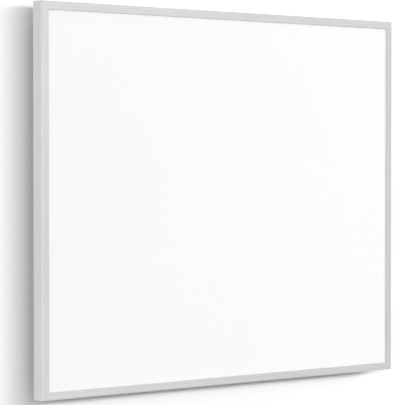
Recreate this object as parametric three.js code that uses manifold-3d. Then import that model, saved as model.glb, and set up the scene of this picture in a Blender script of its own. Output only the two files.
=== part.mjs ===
// Infrared panel heater: a white heating face in a slim mitred aluminium frame, held off the
// wall on four hat-shaped brackets with keyholes, with its terminal box behind. Millimetres.
// X runs right as seen from the room, Y runs into the wall and Z runs up. The origin lies on
// the wall plane behind the middle of the panel.
import * as THREE from 'three';
import { mergeVertices } from 'three/addons/utils/BufferGeometryUtils.js';
import Module from 'manifold-3d';

const wasm = await Module();
wasm.setup();

// ---------------------------------------------------------------- driving dimensions

// Panel
const PANEL_W = 600;
const PANEL_H = 500;
const FRAME_DEPTH = 20;
const WALL_GAP = 22; // frame's rear face to the wall

// Clearances
const FIT = 0.3; // between pieces that seat on, in or round one another
const MITRE_GAP = 0.2; // from each mitre plane, along the frame
const PIVOT_FIT = 0.1; // running fit of the rocker's stub axles

// Frame extrusion: a channel with a chamber for the corner keys along its rear
const LIP_W = 10.5; // front lip, as seen round the white face
const LIP_T = 1.4;
const LIP_CHAMFER = 0.4;
const WALL_T = 1.6;
const EDGE_R = 2.2; // outer front edge
const REAR_LIP_W = 9;
const REAR_LIP_T = 1.4;
const WEB_T = 1.2;

// Corner keys and their screws
const KEY_T = 2.2;
const KEY_LEG = 34;
const KEY_SCREW_AT = 24; // from the frame's outer corner
const CORNER_SCREW = { shankR: 1.2, headR: 2.6, headH: 1.6 };

// Sheets held in the frame, front to back
const TRAY_SLACK = 0.8; // room for the face to grow as it heats
const TRAY_T = 1.2;
const FILM_T = 0.4;
const FILM_MARGIN = 8;
const BUSBAR_T = 0.3;
const BUSBAR_W = 10;
const BUSBAR_INSET = 3;
const FOIL_T = 0.2;
const BACK_PLATE_T = 0.8;

// Hanging brackets
const BRACKET_FROM_SIDE = 100; // bracket's middle in from the frame's side
const BRACKET_FROM_END = 90; // and from its top or bottom
const BRACKET_L = 60;
const BRACKET_TOP_W = 28;
const BRACKET_FOOT_W = 13;
const BRACKET_T = 1.5;
const BRACKET_BEND = 1; // inside radius of the folds
const KEYHOLE_R = 5;
const KEYHOLE_SLOT_W = 5;
const KEYHOLE_TRAVEL = 14; // from the round mouth's middle up to the slot's end
const RIVET = { shankR: 2, headR: 3.4, headH: 1.2, bulbR: 2.9, bulbL: 2.4 };

// Terminal box
const BOX_FROM_RIGHT = 210; // box's middle in from the frame's right side
const BOX_FROM_BOTTOM = 65;
const BOX_W = 120;
const BOX_H = 56;
const BOX_WALL = 2;
const BOX_FLOOR = 2;
const BOX_TO_WALL = 3; // lid to the building's wall
const LID_T = 2.4;
const LID_TAB_L = 30;
const LID_TAB_T = 1.2;
const LID_TAB_D = 3;
const BOSS_R = 3.4;
const LID_SCREW = { shankR: 1.2, headR: 2.7, headH: 1.1 };
const LID_SCREW_L = 11;
const BOX_SCREW = { shankR: 1.5, headR: 3, headH: 1.8 };
const BOX_SCREW_FROM_END = 11; // in from the box's ends
const SCREW_TIP = 2.5; // past the back plate
const RECESS_W = 0.8; // cross recess in every screw head

// Terminal block, placed from the box's middle as all that the box carries
const BLOCK_OFF_X = -18;
const BLOCK_OFF_Z = 1;
const BLOCK_W = 34;
const BLOCK_H = 18;
const BLOCK_D = 14;
const POLE_PITCH = 10;
const POLE_R = 1.7;
const POLE_UP = 6; // pole axis above the block's foot
const WELL_R = 2;
const WELL_D = 5;
const WELL_OFF = 5;
const RIB_T = 2;
const RIB_L = 12;
const RIB_D = 8;

// Earth screw and ring
const EARTH_OFF_X = -44;
const EARTH_OFF_Z = 16;
const EARTH_SCREW = { shankR: 1.9, headR: 3.6, headH: 2.2 };
const RING_R = 4.2;
const RING_T = 0.8;
const RING_TAB_L = 4; // past the ring's edge, where the wire is crimped
const RING_TAB_W = 3;

// Leads, grommet and thermal cut-out
const LEAD_R = 1.1;
const LEAD_STEP = 6;
const LEAD_INTO_POLE = 6;
const LEAD_DEPTH = 9; // lead's middle behind the frame's front face
const GROOVE_W = 5;
const GROOVE_BELOW = 1.5; // groove floor in front of the lead's middle
const GROMMET_OFF_X = 34;
const GROMMET_OFF_Z = 15;
const GROMMET_BORE_R = 4.4;
const GROMMET_NECK_R = 6.2;
const GROMMET_FLANGE_R = 8.2;
const GROMMET_FLANGE_T = 1.4;
const LEAD_OFF = 2; // each lead from the grommet's middle
const CUTOUT_Z = 0;
const CUTOUT_R = 8.2;
const CUTOUT_T = 3.4;
const CUTOUT_CAP_R = 5;
const CUTOUT_CAP_T = 5;

// Cable gland in the box's lower wall
const GLAND_OFF_X = -30;
const GLAND_BORE_R = 3.6;
const GLAND_THREAD_R = 7.8;
const GLAND_INSIDE = 10;
const GLAND_AF = 19; // across flats
const GLAND_COLLAR_T = 4.5;
const GLAND_NECK_R = 7.2;
const GLAND_NECK_L = 7;
const LOCK_NUT_AF = 18;
const LOCK_NUT_T = 4;
const SEAL_T = 5;
const SEAL_R = 6.6;
const SEAL_BORE_R = 3.5;
const CAP_END_T = 2.4;
const CAP_MOUTH_R = 4.2;
const CAP_EDGE_R = 2.2;

// Rocker switch in the box's lower wall
const SWITCH_OFF_X = 30;
const BEZEL_L = 21;
const BEZEL_W = 15;
const BEZEL_T = 2;
const SWITCH_L = 19;
const SWITCH_W = 13;
const SWITCH_D = 12;
const ROCKER_WELL_L = 16.8;
const ROCKER_WELL_W = 10.4;
const ROCKER_WELL_D = 8.5;
const ROCKER_L = 14.8;
const ROCKER_TILT = 10; // degrees from level, on either side
const ROCKER_FACE = 3.6; // face's middle from the pivot
const ROCKER_BELLY = 3;
const PIVOT_SINK = 3; // pivot inside the bezel's face
const PIVOT_R = 1.2;
const PIVOT_STUB = 1;
const SWITCH_HOLE_R = 1.4;
const SWITCH_HOLE_D = 3;

// ---------------------------------------------------------------- places worked out

// Depths are measured from the frame's front face towards the wall
const FRAME_FRONT_Y = -WALL_GAP - FRAME_DEPTH;
const atDepth = (depth) => FRAME_FRONT_Y + depth;

const REAR_LIP_FRONT = FRAME_DEPTH - REAR_LIP_T;
const WEB_BACK = REAR_LIP_FRONT - KEY_T - 2 * FIT;
const WEB_FRONT = WEB_BACK - WEB_T;
const TRAY_FRONT = LIP_T + FIT;
const TRAY_BACK = TRAY_FRONT + TRAY_T;
const FILM_FRONT = TRAY_BACK + FIT;
const FILM_BACK = FILM_FRONT + FILM_T;
const BUSBAR_FRONT = FILM_BACK + FIT;
const BUSBAR_BACK = BUSBAR_FRONT + BUSBAR_T;
const FOIL_FRONT = BUSBAR_BACK + FIT;
const FOIL_BACK = FOIL_FRONT + FOIL_T;
const BOARD_FRONT = FOIL_BACK + FIT;
const BACK_PLATE_BACK = WEB_FRONT - FIT;
const BACK_PLATE_FRONT = BACK_PLATE_BACK - BACK_PLATE_T;
const BOARD_BACK = BACK_PLATE_FRONT - FIT;
const GROOVE_FLOOR = LEAD_DEPTH - GROOVE_BELOW;

const PLATE_W = PANEL_W - 2 * (WALL_T + TRAY_SLACK);
const PLATE_H = PANEL_H - 2 * (WALL_T + TRAY_SLACK);
const BOARD_W = PLATE_W - 2 * (TRAY_T + FIT);
const BOARD_H = PLATE_H - 2 * (TRAY_T + FIT);
const FILM_W = BOARD_W - 2 * FILM_MARGIN;
const FILM_H = BOARD_H - 2 * FILM_MARGIN;
const BUSBAR_Z = FILM_H / 2 - BUSBAR_INSET - BUSBAR_W / 2;

const KEY_W = REAR_LIP_W - WALL_T - 2 * FIT;
const KEY_MID = WALL_T + FIT + KEY_W / 2;

const PLATE_REAR_Y = atDepth(BACK_PLATE_BACK);
const BRACKET_DEPTH = -PLATE_REAR_Y - FIT;
const BRACKET_X = PANEL_W / 2 - BRACKET_FROM_SIDE;
const BRACKET_Z = PANEL_H / 2 - BRACKET_FROM_END;
const FOOT_X = BRACKET_TOP_W / 2 + BRACKET_FOOT_W / 2;
const KEYHOLE_Z = -KEYHOLE_TRAVEL / 2;

const BOX_X = PANEL_W / 2 - BOX_FROM_RIGHT;
const BOX_Z = BOX_FROM_BOTTOM - PANEL_H / 2;
const BLOCK_X = BOX_X + BLOCK_OFF_X;
const BLOCK_Z = BOX_Z + BLOCK_OFF_Z;
const EARTH_X = BOX_X + EARTH_OFF_X;
const EARTH_Z = BOX_Z + EARTH_OFF_Z;
const GROMMET_X = BOX_X + GROMMET_OFF_X;
const GROMMET_Z = BOX_Z + GROMMET_OFF_Z;
const GLAND_X = BOX_X + GLAND_OFF_X;
const SWITCH_X = BOX_X + SWITCH_OFF_X;
const BOX_FRONT_Y = PLATE_REAR_Y + FIT;
const FLOOR_Y = BOX_FRONT_Y + BOX_FLOOR;
const LID_REAR_Y = -BOX_TO_WALL;
const LID_FRONT_Y = LID_REAR_Y - LID_T;
const RIM_Y = LID_FRONT_Y - FIT;
const BOX_SCREW_OFF = BOX_W / 2 - BOX_SCREW_FROM_END;
const BOX_MID_Y = (FLOOR_Y + LID_FRONT_Y) / 2;
const BOX_BOTTOM_Z = BOX_Z - BOX_H / 2;
const BOSS_X = BOX_W / 2 - BOX_WALL - BOSS_R;
const BOSS_Z = BOX_H / 2 - BOX_WALL - BOSS_R;

const BLOCK_Y = FLOOR_Y + FIT;
const POLE_Y = BLOCK_Y + POLE_UP;
const POLE_TOP_Z = BLOCK_Z + BLOCK_H / 2;
const POLE_BOTTOM_Z = BLOCK_Z - BLOCK_H / 2;
const EARTH_POLE_X = BLOCK_X - POLE_PITCH;
const LIVE_POLE_X = BLOCK_X + POLE_PITCH;
const LIVE_X = GROMMET_X - LEAD_OFF;
const NEUTRAL_X = GROMMET_X + LEAD_OFF;

const BEZEL_FACE_Z = BOX_BOTTOM_Z - FIT - BEZEL_T;
const PIVOT_Z = BEZEL_FACE_Z + PIVOT_SINK;
const SWITCH_TOP_Z = BEZEL_FACE_Z + BEZEL_T + SWITCH_D;

// Side counts of round work
const FINE = 28;
const MEDIUM = 16;
const SMALL = 12;
const HEX = 6;
const hexR = (acrossFlats) => acrossFlats / 2 / Math.cos(Math.PI / HEX);

// ---------------------------------------------------------------- finishes

const ANODISED = { color: 0xcfced0, roughness: 0.38, metalness: 0.85 };
const WHITE_COAT = { color: 0xfbfbfc, roughness: 0.55, metalness: 0 };
const FILM = { color: 0x26282b, roughness: 0.6, metalness: 0 };
const COPPER = { color: 0xb87345, roughness: 0.35, metalness: 1 };
const FOIL = { color: 0xd9dadc, roughness: 0.25, metalness: 1 };
const MINERAL_BOARD = { color: 0xd8cfae, roughness: 0.95, metalness: 0 };
const ZINC_SHEET = { color: 0xb4b8bb, roughness: 0.45, metalness: 0.8 };
const ZINC_STEEL = { color: 0xc3c6c9, roughness: 0.35, metalness: 0.9 };
const WHITE_PLASTIC = { color: 0xe6e6e3, roughness: 0.5, metalness: 0 };
const GREY_PLASTIC = { color: 0x6f7276, roughness: 0.55, metalness: 0 };
const BLACK_PLASTIC = { color: 0x1c1d1f, roughness: 0.4, metalness: 0 };
const BLACK_RUBBER = { color: 0x18191a, roughness: 0.85, metalness: 0 };
const BRASS = { color: 0xb9975b, roughness: 0.35, metalness: 1 };
const STEATITE = { color: 0xe9e4d6, roughness: 0.6, metalness: 0 };
const BROWN_LEAD = { color: 0x5a3420, roughness: 0.6, metalness: 0 };
const BLUE_LEAD = { color: 0x2a5fa8, roughness: 0.6, metalness: 0 };
const GREEN_LEAD = { color: 0x6f9a2e, roughness: 0.6, metalness: 0 };

// ---------------------------------------------------------------- making and cutting solids

// A box between two corners, one [low, high] pair per axis
function slab([x0, x1], [y0, y1], [z0, z1]) {
  const box = new THREE.BoxGeometry(x1 - x0, y1 - y0, z1 - z0);
  return box.translate((x0 + x1) / 2, (y0 + y1) / 2, (z0 + z1) / 2);
}

// A [low, high] pair about a middle
function about(middle, size) {
  return [middle - size / 2, middle + size / 2];
}

// A round or many-sided bar along Y
function rodY(radius, [from, to], x = 0, z = 0, sides = MEDIUM) {
  const rod = new THREE.CylinderGeometry(radius, radius, to - from, sides);
  return rod.translate(x, (from + to) / 2, z);
}

// The same along Z
function rodZ(radius, [from, to], x = 0, y = 0, sides = MEDIUM) {
  const rod = new THREE.CylinderGeometry(radius, radius, to - from, sides);
  return rod.rotateX(Math.PI / 2).translate(x, y, (from + to) / 2);
}

// A solid turned about Y from [radius, height] points
function turned(points, sides = MEDIUM) {
  return new THREE.LatheGeometry(points.map(([r, h]) => new THREE.Vector2(r, h)), sides);
}

// A closed geometry as a solid that can be joined and cut
function toSolid(geometry) {
  const bare = geometry.clone();
  bare.deleteAttribute('normal');
  bare.deleteAttribute('uv');
  const merged = mergeVertices(bare);
  const corners = merged.index.array;
  const kept = [];
  for (let i = 0; i < corners.length; i += 3) {
    const [a, b, c] = corners.subarray(i, i + 3);
    if (a !== b && b !== c && c !== a) kept.push(a, b, c);
  }
  return new wasm.Manifold(new wasm.Mesh({
    numProp: 3,
    vertProperties: new Float32Array(merged.attributes.position.array),
    triVerts: new Uint32Array(kept),
  }));
}

function toGeometry(shape) {
  const mesh = shape.getMesh();
  const geometry = new THREE.BufferGeometry();
  geometry.setAttribute('position', new THREE.BufferAttribute(mesh.vertProperties, 3));
  geometry.setIndex(new THREE.BufferAttribute(mesh.triVerts, 1));
  geometry.computeVertexNormals();
  return geometry;
}

function cut(geometry, tools) {
  return toGeometry(tools.reduce((rest, tool) => rest.subtract(toSolid(tool)), toSolid(geometry)));
}

function join(geometries) {
  return toGeometry(geometries.map(toSolid).reduce((whole, next) => whole.add(next)));
}

function overlapOf(first, second) {
  return toGeometry(toSolid(first).intersect(toSolid(second)));
}

// The outline of a sheet folded along a path of straight runs
function foldedOutline(path, thickness, insideRadius, steps = 3) {
  const middleRadius = insideRadius + thickness / 2;
  const points = path.map(([x, y]) => new THREE.Vector2(x, y));
  const runs = points.slice(1).map((p, i) => p.clone().sub(points[i]).normalize());
  const left = (d) => new THREE.Vector2(-d.y, d.x);
  const line = [{ at: points[0], normal: left(runs[0]) }];
  for (let i = 1; i < points.length - 1; i += 1) {
    const turn = Math.atan2(runs[i - 1].cross(runs[i]), runs[i - 1].dot(runs[i]));
    const back = middleRadius * Math.tan(Math.abs(turn) / 2);
    const start = points[i].clone().addScaledVector(runs[i - 1], -back);
    const toCentre = left(runs[i - 1]).multiplyScalar(Math.sign(turn) * middleRadius);
    const centre = start.clone().add(toCentre);
    for (let k = 0; k <= steps; k += 1) {
      const angle = turn * k / steps;
      line.push({
        at: start.clone().rotateAround(centre, angle),
        normal: left(runs[i - 1]).rotateAround(new THREE.Vector2(), angle),
      });
    }
  }
  line.push({ at: points.at(-1), normal: left(runs.at(-1)) });
  const side = (offset) => line.map(({ at, normal }) => at.clone().addScaledVector(normal, offset));
  return new THREE.Shape([...side(thickness / 2), ...side(-thickness / 2).reverse()]);
}

// A pan-head screw along Y with its head's underside at zero and a cross recess
function panScrew({ shankR, headR, headH }, length) {
  const body = turned([
    [0, -length],
    [shankR * 0.7, -length],
    [shankR, -length + shankR * 0.6],
    [shankR, 0],
    [headR, 0],
    [headR, headH * 0.5],
    [headR * 0.72, headH],
    [0, headH],
  ], SMALL);
  const recessFloor = [headH * 0.4, headH * 2];
  const bar = about(0, RECESS_W);
  const arm = about(0, headR * 1.1);
  return cut(body, [slab(arm, recessFloor, bar), slab(bar, recessFloor, arm)]);
}

// ---------------------------------------------------------------- assembly

const heater = new THREE.Group();

function piece(name, geometry, finish, parent = heater) {
  const mesh = new THREE.Mesh(geometry, new THREE.MeshStandardMaterial(finish));
  mesh.name = name;
  parent.add(mesh);
  return mesh;
}

// ---------------------------------------------------------------- frame

// Section of the extrusion: x runs in from the outer face, y runs back from the front face
function frameSection() {
  const section = new THREE.Shape();
  section.moveTo(EDGE_R, 0);
  section.lineTo(LIP_W - LIP_CHAMFER, 0);
  section.lineTo(LIP_W, LIP_CHAMFER);
  section.lineTo(LIP_W, LIP_T);
  section.lineTo(WALL_T, LIP_T);
  section.lineTo(WALL_T, WEB_FRONT);
  section.lineTo(REAR_LIP_W, WEB_FRONT);
  section.lineTo(REAR_LIP_W, WEB_BACK);
  section.lineTo(WALL_T, WEB_BACK);
  section.lineTo(WALL_T, REAR_LIP_FRONT);
  section.lineTo(REAR_LIP_W, REAR_LIP_FRONT);
  section.lineTo(REAR_LIP_W, FRAME_DEPTH);
  section.lineTo(0, FRAME_DEPTH);
  section.lineTo(0, EDGE_R);
  section.absarc(EDGE_R, EDGE_R, EDGE_R, Math.PI, 1.5 * Math.PI, false);
  return section;
}

// One length along its own Z, cut to a mitre at both ends, with its key screws' holes
function frameLength(length) {
  const bar = new THREE.ExtrudeGeometry(frameSection(), {
    depth: length,
    bevelEnabled: false,
    curveSegments: 3,
  });
  const place = bar.attributes.position;
  for (let i = 0; i < place.count; i += 1) {
    const inset = place.getX(i) + MITRE_GAP;
    place.setZ(i, place.getZ(i) < length / 2 ? inset : length - inset);
  }
  const through = [REAR_LIP_FRONT - FIT, FRAME_DEPTH + FIT];
  const holes = [KEY_SCREW_AT, length - KEY_SCREW_AT]
    .map((at) => rodY(CORNER_SCREW.shankR + FIT, through, KEY_MID, at, SMALL));
  return cut(bar, holes);
}

// An L-shaped key, its outer corner at the frame's outer corner
function cornerKey() {
  const near = WALL_T + FIT;
  const far = near + KEY_W;
  const outline = [
    [near, near],
    [KEY_LEG, near],
    [KEY_LEG, far],
    [far, far],
    [far, KEY_LEG],
    [near, KEY_LEG],
  ];
  const plate = new THREE.ExtrudeGeometry(
    new THREE.Shape(outline.map(([x, y]) => new THREE.Vector2(x, y))),
    { depth: KEY_T, bevelEnabled: false },
  );
  plate.rotateX(Math.PI / 2).translate(0, WEB_BACK + FIT + KEY_T, 0);
  const through = [WEB_BACK, REAR_LIP_FRONT];
  return cut(plate, [
    rodY(CORNER_SCREW.shankR + FIT, through, KEY_SCREW_AT, KEY_MID, SMALL),
    rodY(CORNER_SCREW.shankR + FIT, through, KEY_MID, KEY_SCREW_AT, SMALL),
  ]);
}

// Each corner starts the length that runs clockwise from it, as seen from the room
const CORNERS = [
  { corner: 'bottom_left', length: 'left', x: -1, z: -1, quarter: 0 },
  { corner: 'top_left', length: 'top', x: -1, z: 1, quarter: 1 },
  { corner: 'top_right', length: 'right', x: 1, z: 1, quarter: 2 },
  { corner: 'bottom_right', length: 'bottom', x: 1, z: -1, quarter: 3 },
];
const CORNER_SCREW_L = REAR_LIP_T + FIT + KEY_T;
for (const { corner, length, x, z, quarter } of CORNERS) {
  const turn = new THREE.Group();
  turn.position.set(x * PANEL_W / 2, FRAME_FRONT_Y, z * PANEL_H / 2);
  turn.rotation.y = quarter * Math.PI / 2;
  heater.add(turn);
  const upright = quarter % 2 === 0;
  piece(`frame_${length}`, frameLength(upright ? PANEL_H : PANEL_W), ANODISED, turn);
  piece(`corner_key_${corner}`, cornerKey(), ZINC_STEEL, turn);
  const spots = [[KEY_SCREW_AT, KEY_MID], [KEY_MID, KEY_SCREW_AT]];
  spots.forEach(([along, across], i) => {
    const screw = panScrew(CORNER_SCREW, CORNER_SCREW_L);
    piece(`corner_screw_${corner}_${i + 1}`, screw, ZINC_STEEL, turn)
      .position.set(along, FRAME_DEPTH + FIT, across);
  });
}

// ---------------------------------------------------------------- sheets in the frame

const trayOuter = slab(
  about(0, PLATE_W),
  [atDepth(TRAY_FRONT), atDepth(BOARD_BACK)],
  about(0, PLATE_H),
);
const trayInner = slab(
  about(0, PLATE_W - 2 * TRAY_T),
  [atDepth(TRAY_BACK), atDepth(BACK_PLATE_BACK)],
  about(0, PLATE_H - 2 * TRAY_T),
);
piece('front_plate', cut(trayOuter, [trayInner]), WHITE_COAT);

const filmDepth = [atDepth(FILM_FRONT), atDepth(FILM_BACK)];
piece('heating_film', slab(about(0, FILM_W), filmDepth, about(0, FILM_H)), FILM);

for (const [name, side] of [['busbar_top', 1], ['busbar_bottom', -1]]) {
  const strip = slab(
    about(0, FILM_W - 2 * BUSBAR_INSET),
    [atDepth(BUSBAR_FRONT), atDepth(BUSBAR_BACK)],
    about(side * BUSBAR_Z, BUSBAR_W),
  );
  piece(name, strip, COPPER);
}

// Openings where a lead turns forward on to its busbar
const dropSlot = (x, side, depths) => slab(about(x, GROOVE_W), depths, about(side * BUSBAR_Z, 2 * GROOVE_W));
const sheetDepths = [atDepth(FOIL_FRONT - FIT), atDepth(BOARD_BACK + FIT)];
const dropSlots = () => [dropSlot(LIVE_X, 1, sheetDepths), dropSlot(NEUTRAL_X, -1, sheetDepths)];
const cutoutWell = () => rodY(CUTOUT_R + FIT, sheetDepths, LIVE_X, CUTOUT_Z, FINE);

const foil = slab(about(0, BOARD_W), [atDepth(FOIL_FRONT), atDepth(FOIL_BACK)], about(0, BOARD_H));
piece('reflector_foil', cut(foil, [...dropSlots(), cutoutWell()]), FOIL);

// Places of what passes through the back plate
const bracketPlaces = [];
for (const [row, z] of [['top', 1], ['bottom', -1]]) {
  for (const [column, x] of [['left', -1], ['right', 1]]) {
    bracketPlaces.push({
      name: `${row}_${column}`,
      x: x * BRACKET_X,
      z: z * BRACKET_Z,
    });
  }
}
const rivetPlaces = bracketPlaces.flatMap(({ name, x, z }) => [
  { name: `rivet_${name}_1`, x: x - FOOT_X, z },
  { name: `rivet_${name}_2`, x: x + FOOT_X, z },
]);
const boxScrewPlaces = [
  { name: 'box_screw_left', x: BOX_X - BOX_SCREW_OFF, z: BOX_Z },
  { name: 'box_screw_right', x: BOX_X + BOX_SCREW_OFF, z: BOX_Z },
];

// Insulation board with wells for the blind ends and grooves for the leads
const boardRear = atDepth(BOARD_BACK + FIT);
const blindWell = (radius, length) => ({ x, z }) => rodY(
  radius + FIT,
  [atDepth(BACK_PLATE_FRONT) - length - FIT, boardRear],
  x,
  z,
  SMALL,
);
const grooveDepth = [atDepth(GROOVE_FLOOR), boardRear];
const grommetWell = slab(
  about(GROMMET_X, 2 * (GROMMET_FLANGE_R + 2 * FIT)),
  grooveDepth,
  about(GROMMET_Z, 2 * (GROMMET_FLANGE_R + 2 * FIT)),
);
const board = slab(about(0, BOARD_W), [atDepth(BOARD_FRONT), atDepth(BOARD_BACK)], about(0, BOARD_H));
piece('insulation_board', cut(board, [
  ...rivetPlaces.map(blindWell(RIVET.bulbR, FIT + RIVET.bulbL)),
  ...boxScrewPlaces.map(blindWell(BOX_SCREW.shankR, SCREW_TIP)),
  ...[{ x: EARTH_X, z: EARTH_Z }].map(blindWell(EARTH_SCREW.shankR, SCREW_TIP)),
  ...dropSlots(),
  cutoutWell(),
  grommetWell,
  slab(about(LIVE_X, GROOVE_W), grooveDepth, [GROMMET_Z, BUSBAR_Z]),
  slab(about(NEUTRAL_X, GROOVE_W), grooveDepth, [-BUSBAR_Z, GROMMET_Z]),
]), MINERAL_BOARD);

const plateDepth = [atDepth(BACK_PLATE_FRONT), atDepth(BACK_PLATE_BACK)];
const plateHole = (radius, sides) => ({ x, z }) => rodY(
  radius,
  [plateDepth[0] - FIT, plateDepth[1] + FIT],
  x,
  z,
  sides,
);
piece('back_plate', cut(slab(about(0, PLATE_W), plateDepth, about(0, PLATE_H)), [
  ...rivetPlaces.map(plateHole(RIVET.shankR + FIT, SMALL)),
  ...boxScrewPlaces.map(plateHole(BOX_SCREW.shankR + FIT, SMALL)),
  plateHole(EARTH_SCREW.shankR + FIT, SMALL)({ x: EARTH_X, z: EARTH_Z }),
  plateHole(GROMMET_NECK_R + FIT, FINE)({ x: GROMMET_X, z: GROMMET_Z }),
]), ZINC_SHEET);

// ---------------------------------------------------------------- hanging brackets

// A hat folded from sheet: two feet on the back plate and a bridge flat against the wall,
// with a keyhole whose round mouth lies below its slot
function bracket() {
  const bridgeY = -BRACKET_T / 2;
  const footY = -BRACKET_DEPTH + BRACKET_T / 2;
  const sideX = BRACKET_TOP_W / 2 - BRACKET_T / 2;
  const endX = BRACKET_TOP_W / 2 + BRACKET_FOOT_W;
  const hat = new THREE.ExtrudeGeometry(
    foldedOutline(
      [[-endX, footY], [-sideX, footY], [-sideX, bridgeY], [sideX, bridgeY], [sideX, footY], [endX, footY]],
      BRACKET_T,
      BRACKET_BEND,
    ),
    { depth: BRACKET_L, bevelEnabled: false },
  ).translate(0, 0, -BRACKET_L / 2);
  const slotTop = KEYHOLE_Z + KEYHOLE_TRAVEL;
  const bridge = [-BRACKET_T - FIT, FIT];
  const foot = [-BRACKET_DEPTH - FIT, -BRACKET_DEPTH + BRACKET_T + FIT];
  const rivetHole = (x) => rodY(RIVET.shankR + FIT, foot, x, 0, SMALL);
  return cut(hat, [
    rodY(KEYHOLE_R, bridge, 0, KEYHOLE_Z, FINE),
    rodY(KEYHOLE_SLOT_W / 2, bridge, 0, slotTop, MEDIUM),
    slab(about(0, KEYHOLE_SLOT_W), bridge, [KEYHOLE_Z, slotTop]),
    rivetHole(-FOOT_X),
    rivetHole(FOOT_X),
  ]);
}

// A blind rivet, its head's underside at zero and its set end behind the back plate
function rivet() {
  const grip = BRACKET_T + FIT + BACK_PLATE_T + 2 * FIT;
  const blindEnd = grip + RIVET.bulbL;
  return turned([
    [0, -blindEnd],
    [RIVET.bulbR * 0.6, -blindEnd],
    [RIVET.bulbR, -blindEnd + RIVET.bulbL * 0.3],
    [RIVET.bulbR, -blindEnd + RIVET.bulbL * 0.8],
    [RIVET.shankR, -grip],
    [RIVET.shankR, 0],
    [RIVET.headR, 0],
    [RIVET.headR * 0.85, RIVET.headH * 0.6],
    [RIVET.headR * 0.45, RIVET.headH],
    [0, RIVET.headH],
  ], SMALL);
}

for (const { name, x, z } of bracketPlaces) {
  piece(`bracket_${name}`, bracket(), ZINC_STEEL).position.set(x, 0, z);
}
for (const { name, x, z } of rivetPlaces) {
  piece(name, rivet(), ZINC_STEEL).position.set(x, -BRACKET_DEPTH + BRACKET_T + FIT, z);
}

// ---------------------------------------------------------------- terminal box

const bossPlaces = [-1, 1].flatMap((x) => [-1, 1].map((z) => ({
  x: BOX_X + x * BOSS_X,
  z: BOX_Z + z * BOSS_Z,
})));
const boxWalls = slab(about(BOX_X, BOX_W), [BOX_FRONT_Y, RIM_Y], about(BOX_Z, BOX_H));
const boxRoom = slab(
  about(BOX_X, BOX_W - 2 * BOX_WALL),
  [FLOOR_Y, RIM_Y + FIT],
  about(BOX_Z, BOX_H - 2 * BOX_WALL),
);
const ribOff = BLOCK_W / 2 + FIT + RIB_T / 2;
const rib = (x) => slab(about(x, RIB_T), [FLOOR_Y - FIT, FLOOR_Y + RIB_D], about(BLOCK_Z, RIB_L));
const boxWithBosses = join([
  cut(boxWalls, [boxRoom]),
  ...bossPlaces.map(({ x, z }) => rodY(BOSS_R + FIT, [FLOOR_Y - FIT, RIM_Y], x, z)),
  rib(BLOCK_X - ribOff),
  rib(BLOCK_X + ribOff),
]);
const floorThrough = [BOX_FRONT_Y - FIT, FLOOR_Y + FIT];
const lowerWall = [BOX_BOTTOM_Z - FIT, BOX_BOTTOM_Z + BOX_WALL + FIT];
piece('terminal_box_base', cut(boxWithBosses, [
  ...bossPlaces.map(({ x, z }) => rodY(
    LID_SCREW.shankR + FIT,
    [RIM_Y - LID_SCREW_L, RIM_Y + FIT],
    x,
    z,
    SMALL,
  )),
  ...boxScrewPlaces.map(({ x, z }) => rodY(BOX_SCREW.shankR + FIT, floorThrough, x, z, SMALL)),
  rodY(EARTH_SCREW.shankR + FIT, floorThrough, EARTH_X, EARTH_Z, SMALL),
  rodY(GROMMET_FLANGE_R + FIT, floorThrough, GROMMET_X, GROMMET_Z, FINE),
  rodZ(GLAND_THREAD_R + FIT, lowerWall, GLAND_X, BOX_MID_Y, FINE),
  slab(about(SWITCH_X, SWITCH_L + 2 * FIT), about(BOX_MID_Y, SWITCH_W + 2 * FIT), lowerWall),
]), WHITE_PLASTIC);

// Lid with three tabs that locate it inside the box's walls
const tabDepth = [LID_FRONT_Y - LID_TAB_D, LID_FRONT_Y + FIT];
const tabX = BOX_W / 2 - BOX_WALL - FIT - LID_TAB_T / 2;
const tabZ = BOX_H / 2 - BOX_WALL - FIT - LID_TAB_T / 2;
const lid = join([
  slab(about(BOX_X, BOX_W), [LID_FRONT_Y, LID_REAR_Y], about(BOX_Z, BOX_H)),
  slab(about(BOX_X - tabX, LID_TAB_T), tabDepth, about(BOX_Z, LID_TAB_L)),
  slab(about(BOX_X + tabX, LID_TAB_T), tabDepth, about(BOX_Z, LID_TAB_L)),
  slab(about(BOX_X, LID_TAB_L), tabDepth, about(BOX_Z + tabZ, LID_TAB_T)),
]);
const headSeat = LID_REAR_Y - LID_SCREW.headH - FIT;
piece('terminal_box_lid', cut(lid, bossPlaces.flatMap(({ x, z }) => [
  rodY(LID_SCREW.shankR + FIT, [LID_FRONT_Y - FIT, LID_REAR_Y], x, z, SMALL),
  rodY(LID_SCREW.headR + FIT, [headSeat, LID_REAR_Y + FIT], x, z),
])), WHITE_PLASTIC);

bossPlaces.forEach(({ x, z }, i) => {
  piece(`lid_screw_${i + 1}`, panScrew(LID_SCREW, LID_SCREW_L), ZINC_STEEL)
    .position.set(x, headSeat + FIT, z);
});

const boxScrewL = FIT + BOX_FLOOR + FIT + BACK_PLATE_T + SCREW_TIP;
for (const { name, x, z } of boxScrewPlaces) {
  piece(name, panScrew(BOX_SCREW, boxScrewL), ZINC_STEEL).position.set(x, FLOOR_Y + FIT, z);
}

// ---------------------------------------------------------------- terminal block and earth

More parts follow.
